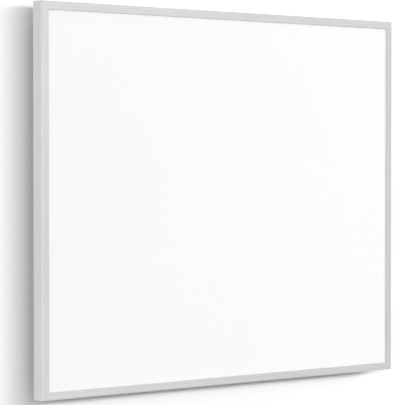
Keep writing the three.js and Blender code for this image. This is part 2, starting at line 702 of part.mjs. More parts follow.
const blockBody = slab(about(BLOCK_X, BLOCK_W), [BLOCK_Y, BLOCK_Y + BLOCK_D], about(BLOCK_Z, BLOCK_H));
const poles = [-1, 0, 1].map((i) => BLOCK_X + i * POLE_PITCH);
piece('terminal_block', cut(blockBody, poles.flatMap((x) => [
  rodZ(POLE_R, [POLE_BOTTOM_Z - FIT, POLE_TOP_Z + FIT], x, POLE_Y, SMALL),
  rodY(WELL_R, [BLOCK_Y + BLOCK_D - WELL_D, BLOCK_Y + BLOCK_D + FIT], x, BLOCK_Z - WELL_OFF, SMALL),
  rodY(WELL_R, [BLOCK_Y + BLOCK_D - WELL_D, BLOCK_Y + BLOCK_D + FIT], x, BLOCK_Z + WELL_OFF, SMALL),
])), STEATITE);

const ringY = [FLOOR_Y + FIT, FLOOR_Y + FIT + RING_T];
const earthScrewL = FIT + RING_T + FIT + BOX_FLOOR + FIT + BACK_PLATE_T + SCREW_TIP;
piece('earth_screw', panScrew(EARTH_SCREW, earthScrewL), BRASS)
  .position.set(EARTH_X, ringY[1] + FIT, EARTH_Z);

// ---------------------------------------------------------------- cut-out, grommet and leads

piece('thermal_cutout', join([
  rodY(CUTOUT_R, [atDepth(BUSBAR_FRONT), atDepth(BUSBAR_FRONT + CUTOUT_T)], LIVE_X, CUTOUT_Z, FINE),
  rodY(
    CUTOUT_CAP_R,
    [atDepth(BUSBAR_FRONT + CUTOUT_T - FIT), atDepth(BUSBAR_FRONT + CUTOUT_T + CUTOUT_CAP_T)],
    LIVE_X,
    CUTOUT_Z,
  ),
]), BLACK_PLASTIC);

// Rubber ring clasping the edge of the back plate's hole
const neck = BACK_PLATE_T + 2 * FIT;
const grommetL = neck + 2 * GROMMET_FLANGE_T;
const grommet = turned([
  [GROMMET_BORE_R, 0],
  [GROMMET_FLANGE_R, 0],
  [GROMMET_FLANGE_R, GROMMET_FLANGE_T],
  [GROMMET_NECK_R, GROMMET_FLANGE_T],
  [GROMMET_NECK_R, GROMMET_FLANGE_T + neck],
  [GROMMET_FLANGE_R, GROMMET_FLANGE_T + neck],
  [GROMMET_FLANGE_R, grommetL],
  [GROMMET_BORE_R, grommetL],
  [GROMMET_BORE_R, 0],
], FINE);
piece('grommet', grommet, BLACK_RUBBER)
  .position.set(GROMMET_X, PLATE_REAR_Y + FIT + GROMMET_FLANGE_T - grommetL, GROMMET_Z);

// A round lead along a smooth route
function lead(route) {
  const path = new THREE.CatmullRomCurve3(route.map((p) => new THREE.Vector3(...p)));
  const sides = 8;
  const ring = Array.from({ length: sides }, (_, i) => {
    const angle = 2 * Math.PI * i / sides;
    return new THREE.Vector2(LEAD_R * Math.cos(angle), LEAD_R * Math.sin(angle));
  });
  return new THREE.ExtrudeGeometry(new THREE.Shape(ring), {
    extrudePath: path,
    steps: Math.ceil(path.getLength() / LEAD_STEP),
    bevelEnabled: false,
  });
}

const leadY = atDepth(LEAD_DEPTH);
const busbarEndY = atDepth(BUSBAR_BACK + FIT);
const intoPoleTop = POLE_TOP_Z - LEAD_INTO_POLE;

// From a busbar's slot back to the groove, in steps of the turn
const turnToBusbar = (x, side) => [
  [x, leadY, side * (BUSBAR_Z - 6)],
  [x, leadY - 0.7, side * (BUSBAR_Z - 2)],
  [x, leadY - 2.2, side * BUSBAR_Z],
  [x, busbarEndY, side * BUSBAR_Z],
];

piece('live_lead', lead([
  [LIVE_POLE_X, POLE_Y, intoPoleTop],
  [LIVE_POLE_X, POLE_Y, POLE_TOP_Z + 3],
  [LIVE_POLE_X + 5, POLE_Y + 4, POLE_TOP_Z + 9],
  [LIVE_X - 16, POLE_Y + 6, GROMMET_Z + 5],
  [LIVE_X - 4, POLE_Y + 3, GROMMET_Z + 1],
  [LIVE_X, POLE_Y - 3, GROMMET_Z],
  [LIVE_X, PLATE_REAR_Y, GROMMET_Z],
  [LIVE_X, leadY + 1.4, GROMMET_Z + 1.2],
  [LIVE_X, leadY, GROMMET_Z + 5],
  [LIVE_X, leadY, GROMMET_Z + 12],
  [LIVE_X, leadY, CUTOUT_Z - CUTOUT_CAP_R - FIT],
]), BROWN_LEAD);

piece('cutout_lead', lead([
  [LIVE_X, leadY, CUTOUT_Z + CUTOUT_CAP_R + FIT],
  [LIVE_X, leadY, BUSBAR_Z - 30],
  ...turnToBusbar(LIVE_X, 1),
]), BROWN_LEAD);

piece('neutral_lead', lead([
  [BLOCK_X, POLE_Y, intoPoleTop],
  [BLOCK_X, POLE_Y, POLE_TOP_Z + 3],
  [BLOCK_X + 5, POLE_Y - 3.4, POLE_TOP_Z + 8],
  [BLOCK_X + 20, POLE_Y - 3.8, GROMMET_Z + 4],
  [GROMMET_X - 12, POLE_Y - 2.5, GROMMET_Z + 6.5],
  [NEUTRAL_X - 3, POLE_Y - 1, GROMMET_Z + 6.5],
  [NEUTRAL_X, POLE_Y - 3.5, GROMMET_Z + 3],
  [NEUTRAL_X, PLATE_REAR_Y, GROMMET_Z],
  [NEUTRAL_X, leadY + 1.4, GROMMET_Z - 1.2],
  [NEUTRAL_X, leadY, GROMMET_Z - 5],
  [NEUTRAL_X, leadY, GROMMET_Z - 12],
  ...turnToBusbar(NEUTRAL_X, -1),
]), BLUE_LEAD);

// The earth lead ends in a ring under the earth screw
const ringMidY = (ringY[0] + ringY[1]) / 2;
const earthWire = lead([
  [EARTH_POLE_X, POLE_Y, intoPoleTop],
  [EARTH_POLE_X, POLE_Y, POLE_TOP_Z + 3],
  [EARTH_POLE_X - 2, POLE_Y - 2, POLE_TOP_Z + 7.5],
  [EARTH_X + RING_R + RING_TAB_L + 2, ringMidY + LEAD_R, EARTH_Z + 2],
  [EARTH_X + RING_R + RING_TAB_L / 4, ringMidY + LEAD_R, EARTH_Z],
]);
const tabEnds = [EARTH_X + RING_R / 2 + 1, EARTH_X + RING_R + RING_TAB_L];
const ringTab = slab(tabEnds, ringY, about(EARTH_Z, RING_TAB_W));
const ring = cut(
  join([rodY(RING_R, ringY, EARTH_X, EARTH_Z), ringTab]),
  [rodY(EARTH_SCREW.shankR + FIT, about(ringMidY, 4 * RING_T), EARTH_X, EARTH_Z, SMALL)],
);
piece('earth_lead', join([earthWire, ring]), GREEN_LEAD);

// ---------------------------------------------------------------- cable gland

// Heights are measured up from the outer face of the box's lower wall
function glandPiece(name, parts, bores, finish) {
  const tools = bores.map(([radius, heights]) => rodZ(radius, heights, 0, 0, FINE));
  piece(name, cut(join(parts), tools), finish).position.set(GLAND_X, BOX_MID_Y, BOX_BOTTOM_Z);
}

const collar = [-FIT - GLAND_COLLAR_T, -FIT];
const neckEnd = collar[0] - GLAND_NECK_L;
const sealTop = neckEnd - FIT;
const sealEnd = sealTop - SEAL_T;
const capEnd = sealEnd - FIT - CAP_END_T;
const capTop = collar[0] - FIT;
const lockNut = [BOX_WALL + FIT, BOX_WALL + FIT + LOCK_NUT_T];
const hexBar = (acrossFlats, heights) => {
  const bar = new THREE.CylinderGeometry(hexR(acrossFlats), hexR(acrossFlats), heights[1] - heights[0], HEX);
  return bar.rotateY(Math.PI / 2).rotateX(Math.PI / 2).translate(0, 0, (heights[0] + heights[1]) / 2);
};
const past = (heights) => [heights[0] - FIT, heights[1] + FIT];

glandPiece('gland_body', [
  rodZ(GLAND_THREAD_R, [collar[1] - FIT, GLAND_INSIDE], 0, 0, FINE),
  hexBar(GLAND_AF, collar),
  rodZ(GLAND_NECK_R, [neckEnd, collar[0] + FIT], 0, 0, FINE),
], [[GLAND_BORE_R, past([neckEnd, GLAND_INSIDE])]], GREY_PLASTIC);

glandPiece('gland_lock_nut', [
  hexBar(LOCK_NUT_AF, lockNut),
], [[GLAND_THREAD_R + FIT, past(lockNut)]], GREY_PLASTIC);

glandPiece('gland_seal', [
  rodZ(SEAL_R, [sealEnd, sealTop], 0, 0, FINE),
], [[SEAL_BORE_R, past([sealEnd, sealTop])]], BLACK_RUBBER);

const capDome = turned([
  [0, capEnd],
  [hexR(GLAND_AF) - CAP_EDGE_R * 1.6, capEnd],
  [hexR(GLAND_AF) - CAP_EDGE_R * 0.5, capEnd + CAP_EDGE_R * 0.6],
  [hexR(GLAND_AF), capEnd + CAP_EDGE_R * 1.8],
  [hexR(GLAND_AF), capTop],
  [0, capTop],
], FINE).rotateX(Math.PI / 2);
glandPiece('gland_cap_nut', [
  overlapOf(hexBar(GLAND_AF, [capEnd, capTop]), capDome),
], [
  [GLAND_NECK_R + FIT, [sealEnd - FIT, capTop + FIT]],
  [CAP_MOUTH_R, past([capEnd, sealEnd])],
], GREY_PLASTIC);

// ---------------------------------------------------------------- rocker switch

const bezelZ = [BEZEL_FACE_Z, BEZEL_FACE_Z + BEZEL_T];
const housing = join([
  slab(about(SWITCH_X, BEZEL_L), about(BOX_MID_Y, BEZEL_W), bezelZ),
  slab(about(SWITCH_X, SWITCH_L), about(BOX_MID_Y, SWITCH_W), [bezelZ[1] - FIT, SWITCH_TOP_Z]),
]);
const pivotHole = rodY(PIVOT_R + PIVOT_FIT, about(BOX_MID_Y, SWITCH_W + 2 * FIT), SWITCH_X, PIVOT_Z);
const switchHole = [SWITCH_TOP_Z - SWITCH_HOLE_D, SWITCH_TOP_Z + FIT];
const switchHoleX = SWITCH_X - SWITCH_L / 4;
piece('switch_housing', cut(housing, [
  slab(
    about(SWITCH_X, ROCKER_WELL_L),
    about(BOX_MID_Y, ROCKER_WELL_W),
    [BEZEL_FACE_Z - FIT, BEZEL_FACE_Z + ROCKER_WELL_D],
  ),
  pivotHole,
  rodZ(SWITCH_HOLE_R, switchHole, switchHoleX, BOX_MID_Y, SMALL),
]), BLACK_PLASTIC);

// The rocker faces down. Its two faces meet in a shallow valley over the pivot, so the
// pressed one lies level. It rests pressed on one side.
const tilt = THREE.MathUtils.degToRad(ROCKER_TILT);
const half = ROCKER_L / 2;
const faceEnd = ROCKER_FACE + half * Math.tan(tilt);
const rockerOutline = new THREE.Shape([
  [0, -ROCKER_FACE],
  [half, -faceEnd],
  [half - 0.8, ROCKER_BELLY * 0.3],
  [half * 0.3, ROCKER_BELLY],
  [-half * 0.3, ROCKER_BELLY],
  [0.8 - half, ROCKER_BELLY * 0.3],
  [-half, -faceEnd],
].map(([x, z]) => new THREE.Vector2(x, z)));
const rockerW = ROCKER_WELL_W - 2 * FIT;
const rocker = new THREE.ExtrudeGeometry(rockerOutline, { depth: rockerW, bevelEnabled: false })
  .translate(0, 0, -rockerW / 2)
  .rotateX(Math.PI / 2);
const axle = rodY(PIVOT_R, about(0, rockerW + 2 * (FIT + PIVOT_STUB)));
const rockerPivot = new THREE.Group();
rockerPivot.position.set(SWITCH_X, BOX_MID_Y, PIVOT_Z);
rockerPivot.rotation.y = -tilt;
heater.add(rockerPivot);
piece('switch_rocker', join([rocker, axle]), BLACK_PLASTIC, rockerPivot);

// From the switch's rear into the live pole's lower end
piece('switch_lead', lead([
  [switchHoleX, BOX_MID_Y, SWITCH_TOP_Z - SWITCH_HOLE_D + FIT],
  [switchHoleX, BOX_MID_Y, SWITCH_TOP_Z + 2],
  [switchHoleX - 5, BOX_MID_Y, SWITCH_TOP_Z + 6.5],
  [switchHoleX - 12, BOX_MID_Y - 1, SWITCH_TOP_Z + 3],
  [LIVE_POLE_X + 10, POLE_Y + 2, POLE_BOTTOM_Z - 8],
  [LIVE_POLE_X + 3, POLE_Y, POLE_BOTTOM_Z - 8],
  [LIVE_POLE_X, POLE_Y, POLE_BOTTOM_Z - 3],
  [LIVE_POLE_X, POLE_Y, POLE_BOTTOM_Z + LEAD_INTO_POLE],
]), BROWN_LEAD);

export default heater;
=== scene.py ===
# %% [markdown]
# # An infrared panel heater, dressed for its photograph
# The imported model is loaded as a fixed frame of named nodes. Everything made below sits in
# that frame, in metres, with X to the right, Y into the wall and Z up. The frame's own box is
# measured, and its size is printed.

# %% Load the frame
import math

import bmesh
import bpy
from mathutils import Matrix, Vector, geometry


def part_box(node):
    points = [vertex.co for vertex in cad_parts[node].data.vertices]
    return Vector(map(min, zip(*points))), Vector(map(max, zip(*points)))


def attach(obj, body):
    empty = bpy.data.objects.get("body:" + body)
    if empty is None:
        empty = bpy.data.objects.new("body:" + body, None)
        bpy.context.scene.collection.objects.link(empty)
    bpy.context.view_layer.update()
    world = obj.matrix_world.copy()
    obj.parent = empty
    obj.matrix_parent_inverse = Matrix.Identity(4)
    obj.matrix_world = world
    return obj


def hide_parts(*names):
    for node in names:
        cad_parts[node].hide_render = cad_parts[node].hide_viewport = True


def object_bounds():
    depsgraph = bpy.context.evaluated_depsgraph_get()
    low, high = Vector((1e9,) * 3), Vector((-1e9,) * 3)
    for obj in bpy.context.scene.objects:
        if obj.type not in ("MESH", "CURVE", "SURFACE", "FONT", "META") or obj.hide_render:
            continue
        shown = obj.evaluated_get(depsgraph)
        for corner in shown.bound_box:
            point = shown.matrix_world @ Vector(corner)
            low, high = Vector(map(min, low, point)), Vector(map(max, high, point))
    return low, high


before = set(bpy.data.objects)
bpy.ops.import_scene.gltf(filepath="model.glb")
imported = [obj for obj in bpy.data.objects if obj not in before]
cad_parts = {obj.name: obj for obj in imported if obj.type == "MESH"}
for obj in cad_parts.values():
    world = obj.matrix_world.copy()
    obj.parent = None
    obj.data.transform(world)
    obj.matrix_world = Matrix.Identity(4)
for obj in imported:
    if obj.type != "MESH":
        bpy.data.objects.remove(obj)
cad_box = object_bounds()
MM = 0.001
box_size = cad_box[1] - cad_box[0]
print("nodes:", len(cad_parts), "box in mm:", [round(v / MM, 1) for v in box_size])

# %% [markdown]
# ## Camera
# The panel's edges were measured in the photograph and solved for a camera. The upright edges
# stay upright there, so the camera looks almost level, from 38 degrees to the panel's left.
# A long lens is what makes the far side only a little shorter than the near one. The field
# of view could be typed in as an angle, but a focal length in pixels is what a solve gives, so
# the lens is worked out from it.

# %% Camera
PHOTO_W, PHOTO_H = 400, 405
FOCAL_PX = 1889
SENSOR = 36.0
CAMERA_AT = Vector((-1.5914, -2.0171, 0.0503))
LOOKS_RIGHT = math.radians(37.96)
LOOKS_DOWN = math.radians(1.26)

camera_data = bpy.data.cameras.new("camera")
camera_data.sensor_width = SENSOR
camera_data.lens = SENSOR * FOCAL_PX / max(PHOTO_W, PHOTO_H)
camera = bpy.data.objects.new("camera", camera_data)
camera.location = CAMERA_AT
camera.rotation_euler = (math.pi / 2 - LOOKS_DOWN, 0, -LOOKS_RIGHT)
bpy.context.collection.objects.link(camera)
scene = bpy.context.scene
scene.camera = camera
scene.view_settings.view_transform = "Standard"
print("lens in mm:", round(camera_data.lens, 1))

# %% [markdown]
# ## Writing materials as sums
# A material is a net of nodes. Wiring it by hand hides what it works out, so one small class
# wraps a socket and turns Python's own operators into Math nodes. A second class holds one
# finish: it adds any other node by its type, and sets the surface shader's own sockets.

# %% A socket with arithmetic
class Signal:
    """An output socket, on which + - * / and ** add Math nodes."""

    def __init__(self, finish, socket):
        self.finish = finish
        self.socket = socket

    def math(self, operation, *values):
        return self.finish.math(operation, *values)

    def __add__(self, other):
        return self.math("ADD", self, other)

    def __radd__(self, other):
        return self.math("ADD", other, self)

    def __sub__(self, other):
        return self.math("SUBTRACT", self, other)

    def __rsub__(self, other):
        return self.math("SUBTRACT", other, self)

    def __mul__(self, other):
        return self.math("MULTIPLY", self, other)

    def __rmul__(self, other):
        return self.math("MULTIPLY", other, self)

    def __truediv__(self, other):
        return self.math("DIVIDE", self, other)

    def __pow__(self, other):
        return self.math("POWER", self, other)

    def __abs__(self):
        return self.math("ABSOLUTE", self)

    def below(self, other):
        return self.math("LESS_THAN", self, other)

    def above(self, other):
        return self.math("GREATER_THAN", self, other)


# %% One finish and its nodes
class Finish:
    """A material with a surface shader, to which nodes are added by type."""

    def __init__(self, name, **surface):
        self.material = bpy.data.materials.new(name)
        self.material.use_nodes = True
        self.nodes = self.material.node_tree.nodes
        self.shader = self.nodes["Principled BSDF"]
        self.set(**surface)

    def put(self, socket, value):
        if isinstance(value, Signal):
            self.material.node_tree.links.new(value.socket, socket)
        else:
            socket.default_value = value

    def set(self, **surface):
        """Sets the shader's sockets: base_color=... becomes Base Color."""
        for word, value in surface.items():
            name = word.replace("_", " ").title().replace("Ior", "IOR")
            self.put(self.shader.inputs[name], value)

    def node(self, kind, settings=None, inputs=None, output=0):
        node = self.nodes.new(kind)
        for key, value in (settings or {}).items():
            if key == "stops":
                self.stops(node.color_ramp, value)
            else:
                setattr(node, key, value)
        for key, value in (inputs or {}).items():
            self.put(node.inputs[key], value)
        return Signal(self, node.outputs[output])

    def stops(self, ramp, stops):
        while len(ramp.elements) < len(stops):
            ramp.elements.new(0.5)
        for element, (place, colour) in zip(ramp.elements, stops):
            element.position = place
            element.color = colour

    def math(self, operation, *values):
        return self.node("ShaderNodeMath", {"operation": operation}, dict(enumerate(values)))

    def place(self):
        """The point on the piece, in metres."""
        return self.node("ShaderNodeTexCoord", output="Object")

    def mapped(self, vector=None, move=(0, 0, 0), turn=(0, 0, 0), scale=(1, 1, 1)):
        inputs = {
            "Vector": vector or self.place(),
            "Location": move, "Rotation": turn, "Scale": scale,
        }
        return self.node("ShaderNodeMapping", {"vector_type": "POINT"}, inputs)

    def axis(self, letter, vector=None):
        return self.node("ShaderNodeSeparateXYZ", inputs={0: vector or self.place()}, output=letter)

    def noise(self, scale, detail=3.0, rough=0.5, vector=None):
        inputs = {
            "Vector": vector or self.place(),
            "Scale": scale, "Detail": detail, "Roughness": rough,
        }
        return self.node("ShaderNodeTexNoise", inputs=inputs)

    def cells(self, scale, output="Distance", feature="F1", vector=None):
        inputs = {"Vector": vector or self.place(), "Scale": scale}
        return self.node("ShaderNodeTexVoronoi", {"feature": feature}, inputs, output)

    def ramp(self, value, *stops):
        greys = [(place, (grey, grey, grey, 1)) for place, grey in stops]
        return self.node("ShaderNodeValToRGB", {"stops": greys}, {"Fac": value})

    def mix(self, factor, first, second):
        inputs = {"Factor": factor, 6: first, 7: second}
        return self.node("ShaderNodeMix", {"data_type": "RGBA"}, inputs, 2)

    def bump(self, height, millimetres, strength=1.0):
        inputs = {"Height": height, "Distance": millimetres * MM, "Strength": strength}
        self.set(normal=self.node("ShaderNodeBump", inputs=inputs))


def rgb(red, green, blue):
    """A colour in shader values from screen values of 0 to 255."""
    def linear(v):
        v = v / 255
        return v / 12.92 if v <= 0.04045 else ((v + 0.055) / 1.055) ** 2.4
    return (linear(red), linear(green), linear(blue), 1.0)


BLACK, WHITE = (0, 0, 0, 1), (1, 1, 1, 1)

# %% [markdown]
# ## Wall and floor
# The heater hangs on a plain white wall. The wall and the floor only show from their front:
# from behind, each lets the view through, so that the heater's back can be looked at too.
# They take shadows but block and bounce no light. A little of their white is given to the
# camera's rays alone, which is what a white wall that is exposed to full white looks like.

# %% Stage finish
WALL_WHITE, WALL_GLOW = 0.99, 0.1


def one_sided(finish):
    """Mixes in a clear shader from behind, so that a sheet only counts from its front."""
    behind = finish.node("ShaderNodeNewGeometry", output="Backfacing")
    clear = finish.node("ShaderNodeBsdfTransparent")
    front = Signal(finish, finish.shader.outputs[0])
    mixed = finish.node("ShaderNodeMixShader", inputs={0: behind, 1: front, 2: clear})
    finish.put(finish.nodes["Material Output"].inputs["Surface"], mixed)
    return finish.material


def stage_finish(name):
    white = (WALL_WHITE, WALL_WHITE, WALL_WHITE, 1)
    finish = Finish(name, base_color=white, roughness=1.0, specular_ior_level=0.0)
    seen = finish.node("ShaderNodeLightPath", output="Is Camera Ray")
    finish.set(emission_color=finish.mix(seen, BLACK, WHITE), emission_strength=WALL_GLOW)
    return one_sided(finish)


# %% Wall and floor sheets
def as_object(name, bm, finish=None):
    """Turns a bmesh into an object of the scene."""
    mesh = bpy.data.meshes.new(name)
    bm.to_mesh(mesh)
    bm.free()
    thing = bpy.data.objects.new(name, mesh)
    if finish:
        mesh.materials.append(finish)
    bpy.context.collection.objects.link(thing)
    return thing


def stage_sheet(name, place, size, finish):
    """A flat sheet, at first level and facing up, put in its place."""
    bm = bmesh.new()
    stretch = Matrix.Diagonal((size[0], size[1], 1, 1))
    bmesh.ops.create_grid(bm, x_segments=1, y_segments=1, size=0.5, matrix=place @ stretch)
    sheet = as_object(name, bm, finish)
    return sheet


STANDING = Matrix.Rotation(math.pi / 2, 4, "X")
WALL_BEHIND = 0.0005
FLOOR_BELOW = 0.9
STAGE_SIZE = 40.0
wall_place = Matrix.Translation((0, WALL_BEHIND, 0)) @ STANDING
wall = stage_sheet("wall", wall_place, (STAGE_SIZE, STAGE_SIZE), stage_finish("wall_white"))
floor_place = Matrix.Translation((0, 0, -FLOOR_BELOW))
floor = stage_sheet("floor", floor_place, (STAGE_SIZE, STAGE_SIZE), stage_finish("floor_white"))
for sheet in (wall, floor):
    sheet.visible_diffuse = sheet.visible_glossy = sheet.visible_shadow = False
print("wall faces the room:", wall.data.polygons[0].normal.y < 0)

# %% [markdown]
# The gap between the heater and its wall is dark in a real room, because the wall closes it.
# Here the back is lit through the wall, and that light would spill on to the shadow at the
# gap's edge. A photographer sets black flags against spill, and so does this: a narrow ledge
# behind the frame's rim, with a skirt down to the wall. Both stop light that comes from the
# wall's side and let it pass from the heater's, and the camera never sees them. The ledge is
# a face that is inset and emptied, and the skirt is its inner edge, extruded.

# %% Flag round the gap
FLAG_W, FLAG_H = 0.599, 0.499
LEDGE_Y, LEDGE_W = -0.0218, 0.02


def verts_in(geom):
    """The vertices among what a bmesh operator returns."""
    return [v for v in geom if isinstance(v, bmesh.types.BMVert)]


def flag_sheet():
    bm = bmesh.new()
    stretch = Matrix.Diagonal((FLAG_W, FLAG_H, 1, 1))
    bmesh.ops.create_grid(bm, x_segments=1, y_segments=1, size=0.5, matrix=STANDING @ stretch)
    inner = bm.faces[:]
    bmesh.ops.inset_region(
        bm, faces=inner, thickness=LEDGE_W, use_boundary=True, use_even_offset=True,
    )
    rim = inner[0].edges[:]
    bmesh.ops.delete(bm, geom=inner, context="FACES_ONLY")
    skirt = bmesh.ops.extrude_edge_only(bm, edges=rim)["geom"]
    bmesh.ops.translate(bm, verts=verts_in(skirt), vec=(0, -LEDGE_Y, 0))
    bmesh.ops.translate(bm, verts=bm.verts, vec=(0, LEDGE_Y, 0))
    bmesh.ops.recalc_face_normals(bm, faces=bm.faces)
    ledge = min(bm.faces, key=lambda f: f.calc_center_median().y)
    if ledge.normal.y < 0:
        bmesh.ops.reverse_faces(bm, faces=bm.faces)
    finish = Finish("flag_black", base_color=BLACK, roughness=1.0, specular_ior_level=0.0)
    flag = as_object("flag", bm, one_sided(finish))
    flag.visible_camera = flag.visible_glossy = flag.visible_transmission = False
    return flag


flag = flag_sheet()
print("flag faces:", [[round(v) for v in f.normal] for f in flag.data.polygons])

# %% [markdown]
# ## Light
# The shadow beside the heater is wide and soft, and the one below it is short and dark. Light
# that does this comes from a long, low row of windows that runs level with the wall. As seen
# from the heater, each part of the row rises in the same ratio: so much up for so much out
# from the wall. The world gives this light from that ratio, a little more of it on the left,
# with a weaker fill all round that is less from below. To the camera and to metal the world
# shows plain white instead. White that metal would throw on to the wall is kept out, by
# Diffuse Depth, as it would fill the shadows.

# %% World light
FILL, SLOPE = 0.295, 0.9
BAND, BAND_UP, BAND_SPREAD = 0.333, 0.24, 0.045
LEFT_SHARE = 0.3
LEAST_OUT = 0.08
world = bpy.data.worlds.new("studio")
world.use_nodes = True
scene.world = world


class Surroundings(Finish):
    """The world's nodes, made in the same way as a finish's."""

    def __init__(self, world):
        self.material = world
        self.nodes = world.node_tree.nodes


def path(output):
    return sky.node("ShaderNodeLightPath", output=output)


sky = Surroundings(world)
toward = sky.node("ShaderNodeTexCoord", output="Generated")
height = sky.axis("Z", toward)
ahead = -1 * sky.axis("Y", toward)
out = sky.math("MAXIMUM", ahead, LEAST_OUT)
off_band = (height / out - BAND_UP) / BAND_SPREAD
bell = sky.math("EXPONENT", -0.5 * (off_band * off_band))
band = ahead.above(LEAST_OUT) * bell / (BAND_SPREAD * out)
leaning = 1 - LEFT_SHARE * sky.axis("X", toward)
lit = FILL * (1 + SLOPE * height) + BAND * leaning * band
mirrored = sky.math("MAXIMUM", path("Is Glossy Ray"), path("Is Transmission Ray"))
seen = sky.math("MAXIMUM", path("Is Camera Ray"), mirrored * path("Diffuse Depth").below(0.5))
sky.put(sky.nodes["Background"].inputs["Strength"], seen + (1 - seen) * lit)
sky.put(sky.nodes["Background"].inputs["Color"], WHITE)
print("nodes in the world:", len(sky.nodes))

# %% [markdown]
# One lamp to the right adds to this. It only lights, and is not mirrored in the metal. A weak
# warm lamp, high in front, does the opposite: metal mirrors it, and it lights nothing else.
# Two more lamps stand behind, one high and one low, for the views of the back.

# %% Lamps
def out_at(around, up, away):
    """A place by its angles from straight ahead, right and up, and its distance."""
    around, up = math.radians(around), math.radians(up)
    level = math.cos(up)
    return Vector((math.sin(around) * level, -math.cos(around) * level, math.sin(up))) * away


def soft_lamp(name, around, up, away, size, brightness):
    """A rectangular lamp that faces the heater."""
    place = out_at(around, up, away)
    data = bpy.data.lights.new(name, "AREA")
    data.shape = "RECTANGLE"
    data.size, data.size_y = size
    data.energy = brightness * math.pi * size[0] * size[1]
    lamp = bpy.data.objects.new(name, data)
    lamp.location = place
    lamp.rotation_euler = (-place).to_track_quat("-Z", "Y").to_euler()
    bpy.context.collection.objects.link(lamp)
    print(name, "at", [round(v, 2) for v in place])
    return lamp


key = soft_lamp("key", around=32, up=12.5, away=5.0, size=(3.0, 0.6), brightness=11.1)
glow = soft_lamp("card", around=2, up=30, away=3.0, size=(3.0, 2.4), brightness=0.4)
glow.visible_diffuse = False
glow.data.color = (1.0, 0.96, 0.8)
back = soft_lamp("back", around=200, up=35, away=3.0, size=(3.2, 2.4), brightness=2.4)
under = soft_lamp("under", around=165, up=-40, away=3.0, size=(2.4, 1.6), brightness=1.4)
for lamp in (key, back, under):
    lamp.visible_glossy = False

# %% [markdown]
# In the photograph the frame's lip is palest at the top left and greyer towards the bottom
# right, and the rounded corner between lip and side has no bright line. Bright metal is only
# as pale as what it mirrors, so two grey cards stand in the room: one low on the right, for
# the lip, and a wide one around the camera, for the corner. Only metal can see them.

# %% Grey cards
def grey_card(around, up, away, size, tone):
    spot = out_at(around, up, away)
    finish = Finish("grey_card", base_color=BLACK, roughness=1.0, specular_ior_level=0.0)
    finish.set(emission_color=(*tone, 1), emission_strength=1.0)
    place = Matrix.Translation(spot) @ (-spot).to_track_quat("Z", "Y").to_matrix().to_4x4()
    card = stage_sheet("grey_card", place, size, finish.material)
    card.visible_camera = card.visible_diffuse = False
    card.visible_shadow = card.visible_transmission = False
    return card


CARDS = [
    grey_card(around=60, up=-14, away=3.0, size=(2.4, 1.9), tone=(0.735, 0.72, 0.685)),
    grey_card(around=-32, up=0, away=3.0, size=(6.4, 2.6), tone=(0.68, 0.675, 0.67)),
]
for card in CARDS:
    facing = card.data.polygons[0].normal.dot(card.data.vertices[0].co) < 0
    print("grey card faces the heater:", facing)

# %% [markdown]
# ## Tools for shaping
# Every new piece starts as a bmesh in millimetres, in the frame's own place, because the
# heater's dimensions are easiest to read that way. The last tool turns it into an object in
# metres. It merges doubled vertices before it turns the normals outwards, as spinning leaves
# a seam. Smooth shading with sharp edges kept, and weighted normals, make the small rounded
# edges catch the light while the flats stay flat.

# %% Edges and rounding
NEAR = 0.1


def runs_along(edge, axis):
    """True if an edge is parallel to X, Y or Z."""
    run = edge.verts[1].co - edge.verts[0].co
    return abs(run["XYZ".index(axis)]) > 0.9999 * run.length


def middle(edge):
    return (edge.verts[0].co + edge.verts[1].co) / 2


def round_off(bm, edges, width, steps=3):
    """Rounds edges with Blender's bevel, clamped so that it never crosses itself."""
    return bmesh.ops.bevel(
        bm, geom=list(edges), offset=width, offset_type="OFFSET", segments=steps,
        profile=0.5, affect="EDGES", material=-1, clamp_overlap=True,
    )


def sharp_edges(bm, degrees=40):
    bm.normal_update()
    turn = math.radians(degrees)
    return [e for e in bm.edges if len(e.link_faces) == 2 and e.calc_face_angle() > turn]


def tidy(bm, gap=0.0005):
    """Merges doubles, then points every face outwards."""
    bmesh.ops.remove_doubles(bm, verts=bm.verts, dist=gap)
    bmesh.ops.recalc_face_normals(bm, faces=bm.faces)
    return bm


def trim(bm, place, way):
    """Cuts away all that lies past a plane, and closes the cut."""
    cut = bmesh.ops.bisect_plane(
        bm, geom=bm.verts[:] + bm.edges[:] + bm.faces[:], dist=0.0001,
        plane_co=place, plane_no=way, clear_outer=True,
    )
    rim = [e for e in cut["geom_cut"] if isinstance(e, bmesh.types.BMEdge)]
    bmesh.ops.contextual_create(bm, geom=rim)


# %% Blocks, prisms and turned shapes
def block(low, high):
    """A box between two corners."""
    bm = bmesh.new()
    size = Vector(high) - Vector(low)
    place = Matrix.Translation((Vector(high) + Vector(low)) / 2) @ Matrix.Diagonal((*size, 1))
    bmesh.ops.create_cube(bm, size=1, matrix=place)
    return bm


def rounded_block(low, high, axis, width, steps):
    """A box whose four edges along one axis are rounded."""
    bm = block(low, high)
    round_off(bm, [e for e in bm.edges if runs_along(e, axis)], width, steps)
    return bm


def prism(outline, low, high):
    """A flat outline of (x, y) points, extruded along Z from low to high."""
    bm = bmesh.new()
    face = bm.faces.new([bm.verts.new((x, y, low)) for x, y in outline])
    side = bmesh.ops.extrude_face_region(bm, geom=[face])["geom"]
    bmesh.ops.translate(bm, verts=verts_in(side), vec=(0, 0, high - low))
    return tidy(bm)


def turned(profile, steps=32):
    """(radius, height) points joined in a line and spun about Z."""
    bm = bmesh.new()
    verts = [bm.verts.new((r, 0, h)) for r, h in profile]
    line = [bm.edges.new(pair) for pair in zip(verts, verts[1:])]
    bmesh.ops.spin(
        bm, geom=verts + line, cent=(0, 0, 0), axis=(0, 0, 1), angle=2 * math.pi,
        steps=steps, use_merge=True,
    )
    return tidy(bm)


